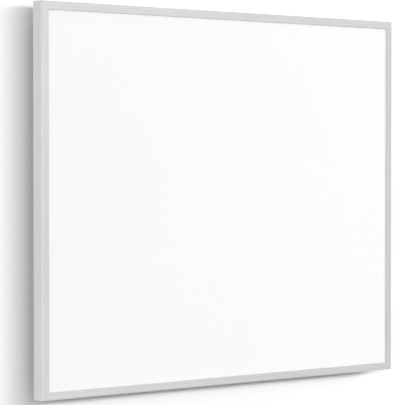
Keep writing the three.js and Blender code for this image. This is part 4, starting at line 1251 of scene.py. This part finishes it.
bezel = switch_block(10.5, 7.5, BEZEL_LOW, BEZEL_HIGH, 1.4, 4)
round_off(bezel, [e for e in sharp_edges(bezel) if middle(e).z < BEZEL_LOW + NEAR], 0.7, 3)
case = switch_block(9.5, 6.5, BEZEL_HIGH - 0.3, SWITCH_TOP, 0.6, 2)
housing = combined(tidy(bezel), tidy(case), how="UNION")
well = switch_block(8.4, 5.2, BEZEL_LOW - 1, BEZEL_LOW + 8.5, 0.5, 3)
pivot_hole = moved(rod(1.3, -6.8, 6.8, 24), at(SWITCH_X, MID_Y, PIVOT_Z, TO_WALL))
wire_hole = moved(rod(1.4, 0, 4, 24), at(WIRE_X, MID_Y, SWITCH_TOP - 3))
housing = combined(housing, well, pivot_hole, wire_hole)
edges = [e for e in sharp_edges(housing, 70) if middle(e).z < BEZEL_LOW + NEAR]
round_off(housing, edges, 0.25, 2)
piece("switch_case", housing, SWITCH_BLACK, "switch_housing")


# %% Rocker with its printed marks
def marked_black():
    """Black plastic with a line and a ring, each white and half a millimetre wide."""
    finish = Finish("rocker_black_plastic", specular_ior_level=0.5)
    x = finish.axis("X") / MM - SWITCH_X
    y = finish.axis("Y") / MM - MID_Y
    z = finish.axis("Z") / MM
    line = abs(x + 4.4).below(0.25) * abs(y).below(1.4)
    far = ((x - 4.3) ** 2.0 + y * y) ** 0.5
    ring = abs(far - 1.25).below(0.25)
    mark = finish.math("MAXIMUM", line, ring) * z.below(PIVOT_Z - 2.2)
    fine = finish.noise(5200.0, 2)
    flow = finish.noise(80.0, 2)
    body = finish.mix(flow, rgb(22, 23, 25), rgb(33, 34, 36))
    finish.set(base_color=finish.mix(mark, body, rgb(232, 232, 230)))
    finish.set(roughness=0.3 + 0.12 * fine + 0.15 * mark)
    finish.bump(0.3 * fine + 0.7 * mark, 0.012)
    return finish.material


ROCKER_BLACK = marked_black()
TILT = 10
ROCKER_HALF, ROCKER_FACE, ROCKER_BELLY = 7.4, 3.6, 3
FACE_END = ROCKER_FACE + ROCKER_HALF * math.tan(math.radians(TILT))
rocker = prism([
    (0, -ROCKER_FACE), (ROCKER_HALF, -FACE_END), (ROCKER_HALF - 0.8, ROCKER_BELLY * 0.3),
    (ROCKER_HALF * 0.3, ROCKER_BELLY), (-ROCKER_HALF * 0.3, ROCKER_BELLY),
    (0.8 - ROCKER_HALF, ROCKER_BELLY * 0.3), (-ROCKER_HALF, -FACE_END),
], -4.9, 4.9)
moved(rocker, at(0, 0, 0, (90, 0, 0)))
faces_down = [e for e in sharp_edges(rocker, 30) if middle(e).z < -3.7]
round_off(rocker, faces_down, 0.5, 4)
axle = turned([(0, -6.2), (1.0, -6.2), (1.2, -6.0), (1.2, 6.0), (1.0, 6.2), (0, 6.2)], 24)
moved(axle, at(0, 0, 0, TO_WALL))
rocker = combined(rocker, axle, how="UNION")
moved(rocker, at(SWITCH_X, MID_Y, PIVOT_Z, (0, -TILT, 0)))
piece("rocker_button", rocker, ROCKER_BLACK, "switch_rocker", body="rocker")
low, high = size_of("switch_rocker")
print("rocker in its node's box:", [round(v, 1) for v in low], [round(v, 1) for v in high])

# %% [markdown]
# ## Brass and ceramic
# The cable's cores end in a terminal block: a fired steatite body, matt and off-white, with
# brass sleeves in it. Turned brass keeps fine rings from the lathe and dulls in patches. The
# steatite shows a fine grain and faint specks, and no gloss.

# %% Brass and steatite finishes
def turned_metal(name, dark, light):
    finish = Finish(name, metallic=1.0)
    clouds = finish.noise(120.0, 3, 0.6)
    grain = finish.noise(2400.0, 2)
    dull = finish.ramp(clouds, (0.35, 0.0), (0.7, 1.0))
    finish.set(base_color=finish.mix(dull, light, dark))
    finish.set(roughness=0.24 + 0.16 * dull + 0.08 * grain)
    finish.bump(grain, 0.006)
    return finish.material


def fired_steatite():
    finish = Finish("fired_steatite", specular_ior_level=0.4)
    grain = finish.noise(2600.0, 3, 0.6)
    specks = finish.cells(700.0)
    pits = finish.ramp(specks, (0.0, 1.0), (0.14, 0.0))
    body = finish.mix(grain, rgb(226, 221, 208), rgb(242, 238, 228))
    finish.set(base_color=finish.mix(0.5 * pits, body, rgb(188, 178, 158)))
    finish.set(roughness=0.5 + 0.2 * grain)
    finish.bump(grain - 0.6 * pits, 0.02)
    return finish.material


BRASS = turned_metal("turned_brass", rgb(190, 166, 118), rgb(222, 200, 150))
TINNED = turned_metal("tinned_copper", rgb(176, 176, 174), rgb(208, 207, 203))
STEATITE = fired_steatite()

# %% [markdown]
# ## Terminal block
# The block is a bar with a groove between each two poles, which keeps their wires apart. Each
# pole has a hole along it for the wires, and two wells for the clamp screws. The grooves and
# holes are cut in one pass, and only then are the outer edges rounded, so that the grooves'
# mouths are rounded too. The sleeves and screws are pieces of their own inside it.

# %% Terminal block
BLOCK_X, BLOCK_Z, POLE_Y, POLE_PITCH = 72, -184, -19.1, 10
BLOCK_LOW, BLOCK_HIGH = (55, -25.1, -193), (89, -11.1, -175)
POLES = [BLOCK_X - POLE_PITCH, BLOCK_X, BLOCK_X + POLE_PITCH]
WELLS = [(x, BLOCK_Z + z) for x in POLES for z in (-5, 5)]


def terminal_block():
    bar = rounded_block(BLOCK_LOW, BLOCK_HIGH, "Y", 1.2, 4)
    rear = BLOCK_HIGH[1]
    round_off(bar, [e for e in sharp_edges(bar) if middle(e).y > rear - NEAR], 0.5, 3)
    grooves = [
        block((x - 0.9, rear - 2.2, -196), (x + 0.9, 0, -172)) for x in (BLOCK_X - 5, BLOCK_X + 5)
    ]
    bar = combined(tidy(bar), beside(*grooves))
    holes = [moved(rod(1.7, -20, 20, 24), at(x, POLE_Y, BLOCK_Z)) for x in POLES]
    wells = [drill_y(2, -16.1, -8, x, z, 24) for x, z in WELLS]
    bar = combined(bar, beside(*holes), beside(*wells))
    mouths = [e for e in sharp_edges(bar, 70) if middle(e).y > rear - NEAR]
    round_off(bar, mouths, 0.25, 2)
    return bar


piece("ceramic_block", terminal_block(), STEATITE, "terminal_block")
print("block faces:", made["ceramic_block"])


# %% Sleeves and clamp screws
def slotted_screw(shank, head, height, length, pitch):
    """A screw without a rim, with one straight slot, head upwards from z = 0."""
    top = turned([(0, 0), (head, 0), (head, height - 0.25), (head - 0.25, height), (0, height)], 24)
    top = combined(top, block((-head - 1, -0.3, height * 0.45), (head + 1, 0.3, height + 1)))
    return beside(top, helix(shank, shank * 0.8, pitch, -length, -0.02, 16))


CLAMP_SEAT, EARTH_SEAT = -14.9, -24.0
for number, x in enumerate(POLES, 1):
    sleeve = turned([(1.2, -8.6), (1.65, -8.6), (1.65, 8.6), (1.2, 8.6), (1.2, -8.6)], 24)
    piece(f"brass_sleeve_{number}", moved(sleeve, at(x, POLE_Y, BLOCK_Z)), BRASS)
for number, (x, z) in enumerate(WELLS, 1):
    screw = slotted_screw(1.2, 1.8, 1.6, 1.1, 0.5)
    moved(screw, at(x, CLAMP_SEAT, z, (-90, 37 * number, 0)))
    piece(f"clamp_screw_{number}", screw, BRASS)
screw = moved(pan_screw(1.9, 3.6, 2.2, 7.0, 1.2), at(EARTH_X, EARTH_SEAT, EARTH_Z, (-90, 20, 0)))
piece("earth_screw_brass", screw, BRASS, "earth_screw")
print("brass pieces:", [name for name in made if "sleeve" in name or "clamp" in name])

# %% [markdown]
# ## Leads
# The cores are wires in a coloured skin. Each follows a route through a few points, and the
# curve between two points is a Bezier whose handles are the slopes of a centripetal
# Catmull-Rom spline, which never loops at a short step. A straight lead is spun first, with
# one ring of vertices a step, and then every ring is carried to its place on the route and
# turned with it. Before that each vertex notes which side of the lead it is on, because the
# earth lead's yellow stripe has to follow it round the bends.

# %% Route of a lead
def smooth_route(points, step):
    """Points about a step apart on a smooth curve through the given ones."""
    stops = [Vector(p) for p in points]
    stops = [2 * stops[0] - stops[1], *stops, 2 * stops[-1] - stops[-2]]
    route = []
    for a, b, c, d in zip(stops, stops[1:], stops[2:], stops[3:]):
        before, along, after = (math.sqrt((q - p).length) for p, q in ((a, b), (b, c), (c, d)))
        leave = ((b - a) / before - (c - a) / (before + along) + (c - b) / along) * along
        arrive = ((c - b) / along - (d - b) / (along + after) + (d - c) / after) * along
        count = max(2, round((c - b).length / step)) + 1
        route += geometry.interpolate_bezier(b, b + leave / 3, c - arrive / 3, c, count)[:-1]
    return route + [stops[-2]]


route = smooth_route([(0, 0, 0), (0, 0, 10), (5, 0, 20)], 2)
print("route:", [tuple(round(v, 1) for v in p) for p in route])


# %% Lead bent along its route
LEAD_R = 1.1


def bent_lead(points, step=1.6, sides=14):
    route = smooth_route(points, step)
    line = [(0, 0)] + [(LEAD_R, i) for i in range(len(route))] + [(0, len(route) - 1)]
    bm = turned(line, sides)
    mark = bm.verts.layers.float.new("side")
    for vert in bm.verts:
        vert[mark] = vert.co.x / LEAD_R
    rings = {}
    for vert in bm.verts:
        rings.setdefault(round(vert.co.z), []).append(vert)
    heading = Vector((0, 0, 1))
    turn = Matrix.Identity(4)
    for i, place in enumerate(route):
        ahead = (route[min(i + 1, len(route) - 1)] - route[max(i - 1, 0)]).normalized()
        turn = heading.rotation_difference(ahead).to_matrix().to_4x4() @ turn
        heading = ahead
        carry = Matrix.Translation(place) @ turn @ Matrix.Translation((0, 0, -i))
        bmesh.ops.transform(bm, matrix=carry, verts=rings[i])
    return bm


# %% Skin of a lead
def lead_skin(name, dark, light, stripe=None):
    """Soft vinyl. The stripe, if any, is where the noted side passes its threshold."""
    finish = Finish(name, specular_ior_level=0.5)
    drift = finish.noise(160.0, 3)
    fine = finish.noise(3000.0, 2)
    body = finish.mix(drift, dark, light)
    if stripe:
        side = finish.node("ShaderNodeAttribute", {"attribute_name": "side"}, output="Fac")
        body = finish.mix(side.above(0.35), body, stripe)
    finish.set(base_color=body, roughness=0.38 + 0.1 * fine + 0.08 * drift)
    finish.bump(0.6 * drift + 0.4 * fine, 0.015)
    return finish.material


YELLOW = rgb(226, 206, 48)
SKINS = {
    "brown": lead_skin("brown_lead_skin", rgb(92, 50, 32), rgb(110, 62, 40)),
    "blue": lead_skin("blue_lead_skin", rgb(38, 88, 160), rgb(52, 106, 178)),
    "green": lead_skin("green_and_yellow_lead_skin", rgb(52, 128, 58), rgb(66, 142, 66), YELLOW),
}
LEAD_Y = -33


def onto_busbar(x, side):
    """The last four points of a lead that turns forward on to a busbar."""
    steps = [(LEAD_Y, 224.1), (LEAD_Y - 0.7, 228.1), (LEAD_Y - 2.2, 230.1), (-37.5, 230.1)]
    return [(x, y, side * z) for y, z in steps]


def from_pole(x):
    """The first two points of a lead that leaves the terminal block upwards."""
    return [(x, POLE_Y, -181), (x, POLE_Y, -172)]


# %% All five leads
LIVE_X, NEUTRAL_X = 122, 126
EARTH_POLE, NEUTRAL_POLE, LIVE_POLE = POLES
BARREL_AT = (51.2, -23.6, EARTH_Z)
CUTOUT_SIDE = 5.3
ROUTES = {
    "live_lead": ("brown", [
        *from_pole(LIVE_POLE), (87, -15.1, -166), (106, -13.1, -165), (118, -16.1, -169),
        (LIVE_X, -22.1, GROMMET_Z), (LIVE_X, -27.7, GROMMET_Z), (LIVE_X, -31.6, -168.8),
        (LIVE_X, LEAD_Y, -165), (LIVE_X, LEAD_Y, -158), (LIVE_X, LEAD_Y, -CUTOUT_SIDE),
    ]),
    "cutout_lead": ("brown", [
        (LIVE_X, LEAD_Y, CUTOUT_SIDE), (LIVE_X, LEAD_Y, 200.1), *onto_busbar(LIVE_X, 1),
    ]),
    "neutral_lead": ("blue", [
        *from_pole(NEUTRAL_POLE), (77, -22.5, -167), (92, -22.9, -166), (112, -21.6, -163.5),
        (123, -20.1, -163.5), (NEUTRAL_X, -22.6, -167), (NEUTRAL_X, -27.7, GROMMET_Z),
        (NEUTRAL_X, -31.6, -171.2), (NEUTRAL_X, LEAD_Y, -175), (NEUTRAL_X, LEAD_Y, -182),
        *onto_busbar(NEUTRAL_X, -1),
    ]),
    "earth_lead": ("green", [
        *from_pole(EARTH_POLE), (60, -21.1, -167.5), (56.2, -23.6, -167), BARREL_AT,
    ]),
    "switch_lead": ("brown", [
        (WIRE_X, MID_Y, -204), (WIRE_X, MID_Y, -199.3), (110.25, MID_Y, -194.8),
        (103.25, -16.4, -198.3), (92, -17.1, -201), (85, POLE_Y, -201),
        (LIVE_POLE, POLE_Y, -196), (LIVE_POLE, POLE_Y, -187),
    ]),
}
for name, (colour, points) in ROUTES.items():
    thing = piece(f"{name}_core", bent_lead(points), SKINS[colour], name)
    print(name, "faces", made[thing.name])

# %% [markdown]
# ## Ends of the leads
# The earth lead ends in a crimped ring under its screw, and the leads of the thermal cut-out
# in short crimped sleeves. The ring's flat part, a disc with a tab, is extruded from one
# outline. A barrel is joined to the tab, and then both are drilled.

# %% Ring terminal and crimped sleeves
RING_LOW, RING_HIGH = -25.1, -24.3
TAB_HALF, TAB_END = 1.5, 8.2
DISC_R = 4.2
around = [math.radians(21 + 318 * n / 36) for n in range(37)]
flat = [(DISC_R * math.cos(a), DISC_R * math.sin(a)) for a in around]
flat += [(TAB_END, -TAB_HALF), (TAB_END, TAB_HALF)]
ring = moved(prism(flat, RING_LOW, RING_HIGH), at(EARTH_X, 0, EARTH_Z, TO_WALL))
barrel_place = at(*BARREL_AT, (0, 90, 0))
barrel_line = [(0, -0.4), (1.36, -0.4), (1.46, 0), (1.46, 3.2), (1.36, 3.4), (0, 3.4)]
ring = combined(ring, moved(turned(barrel_line, 28), barrel_place), how="UNION")
screw_hole = drill_y(2.2, -27, -22, EARTH_X, EARTH_Z, 32)
ring = combined(ring, screw_hole, moved(rod(1.15, -0.1, 6, 24), barrel_place))
piece("crimped_ring", ring, TINNED)
for name, low in (("lower", -10.6), ("upper", 5.4)):
    crimp = turned([
        (1.15, 0), (1.4, 0), (1.45, 0.3), (1.45, 1.6), (1.3, 2.2), (1.3, 3.2),
        (1.45, 3.8), (1.45, 4.9), (1.4, 5.2), (1.15, 5.2), (1.15, 0),
    ], 24)
    piece(f"crimped_sleeve_{name}", moved(crimp, at(LIVE_X, LEAD_Y, low)), TINNED)

# %% [markdown]
# ## Thermal cut-out and grommet
# The cut-out is a bimetal switch that opens if the panel overheats: a metal cup that lies
# against the heated side, with a dark moulded cap. The leads pass through the back plate in
# a rubber ring that grips the edge of the hole. Both are round, so both are spun lines.

# %% Thermal cut-out
CUTOUT_PLACE = at(LIVE_X, 0, 0, TO_WALL)
cup = turned([
    (0, -38.1), (7.7, -38.1), (8.1, -37.9), (8.2, -37.5),
    (8.2, -35.0), (8.05, -34.75), (7.6, -34.7), (0, -34.7),
], 48)
piece("cutout_cup", moved(cup, CUTOUT_PLACE), TINNED)
cap = turned([
    (0, -34.68), (5.0, -34.68), (5.0, -31.2), (4.85, -30.6), (4.4, -30.1), (3.8, -29.8),
    (2.4, -29.7), (2.1, -29.85), (0.6, -29.9), (0, -29.75),
], 48)
moved(cap, CUTOUT_PLACE)
piece("cutout_cap", cap, SWITCH_BLACK, "thermal_cutout")

# %% Grommet
ring = turned([
    (4.4, -29.9), (4.6, -30.15), (4.9, -30.2), (7.6, -30.2), (8.05, -30.05), (8.2, -29.6),
    (8.2, -29.2), (8.05, -28.85), (7.8, -28.8), (6.2, -28.8), (6.2, -27.4), (7.8, -27.4),
    (8.05, -27.35), (8.2, -27.0), (8.2, -26.6), (8.05, -26.15), (7.6, -26.0), (4.9, -26.0),
    (4.6, -26.05), (4.4, -26.3), (4.4, -29.9),
], 48)
moved(ring, at(GROMMET_X, 0, GROMMET_Z, TO_WALL))
piece("rubber_grommet", ring, RUBBER, "grommet")
print("cap faces:", made["cutout_cap"], "grommet faces:", made["rubber_grommet"])

# %% [markdown]
# ## Inside layers
# Behind the face lie the layers that do the work. A carbon film is printed in upright bands
# on dark laminate. Two rolled copper strips feed it. Crinkled foil throws the heat forward,
# and a board of pressed mineral fibre keeps the back cool. Its fibres lie every way, so three
# noises are each turned first and stretched after, by two Mapping nodes, because one such
# node scales before it turns. The shapes are plain sheets, so the model's own nodes stay and
# only get these finishes.

# %% Film and copper
def carbon_film():
    finish = Finish("carbon_film", specular_ior_level=0.4)
    x = finish.axis("X") / MM
    wave = finish.math("FRACT", x / 12.0)
    band = finish.ramp(abs(wave - 0.5), (0.3, 1.0), (0.34, 0.0))
    grain = finish.noise(1800.0, 3, 0.6)
    laminate = finish.mix(grain, rgb(74, 76, 78), rgb(88, 90, 92))
    carbon = finish.mix(grain, rgb(28, 29, 31), rgb(44, 45, 48))
    finish.set(base_color=finish.mix(band, laminate, carbon))
    finish.set(roughness=0.45 + 0.25 * band + 0.1 * grain)
    finish.bump(0.7 * band + 0.3 * grain, 0.02)
    return finish.material


def rolled_copper():
    finish = Finish("rolled_copper", metallic=1.0)
    lines = finish.noise(1.0, 2, 0.6, finish.mapped(scale=(4, 1800, 1800)))
    clouds = finish.noise(60.0, 3)
    body = finish.mix(lines, rgb(196, 124, 88), rgb(220, 150, 112))
    finish.set(base_color=finish.mix(0.5 * clouds, body, rgb(150, 88, 62)))
    finish.set(roughness=0.25 + 0.2 * clouds)
    finish.bump(lines, 0.008)
    return finish.material


coat("heating_film", carbon_film())
COPPER = rolled_copper()
for name in ("busbar_top", "busbar_bottom"):
    coat(name, COPPER)


# %% Foil and board
def crinkled_foil():
    finish = Finish("crinkled_foil", metallic=1.0)
    folds = finish.cells(60.0, feature="DISTANCE_TO_EDGE")
    creases = finish.ramp(folds, (0.0, 0.0), (0.35, 1.0))
    fine = finish.noise(240.0, 3, 0.6)
    finish.set(base_color=finish.mix(fine, rgb(214, 215, 217), rgb(236, 236, 238)))
    finish.set(roughness=0.14 + 0.14 * fine)
    finish.bump(0.8 * creases + 0.2 * fine, 0.25)
    return finish.material


def fibre_board():
    finish = Finish("mineral_fibre_board", roughness=0.95, specular_ior_level=0.2)
    strands = []
    for turn in (0.3, 1.4, 2.5):
        swung = finish.mapped(turn=(0, turn, 0))
        stretched = finish.mapped(swung, scale=(140, 1300, 1300))
        strands.append(finish.noise(1.0, 2, 0.6, stretched))
    fibre = (strands[0] + strands[1] + strands[2]) / 3
    clumps = finish.noise(90.0, 3)
    tone = finish.ramp(0.7 * fibre + 0.3 * clumps, (0.35, 0.0), (0.65, 1.0))
    finish.set(base_color=finish.mix(tone, rgb(196, 184, 146), rgb(230, 221, 190)))
    finish.bump(tone, 0.3)
    return finish.material


coat("reflector_foil", crinkled_foil())
coat("insulation_board", fibre_board())
for corner in CORNERS:
    coat(f"corner_key_{corner}", PLATED)
kept = [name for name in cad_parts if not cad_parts[name].hide_render]
print("nodes that keep their shape:", kept)
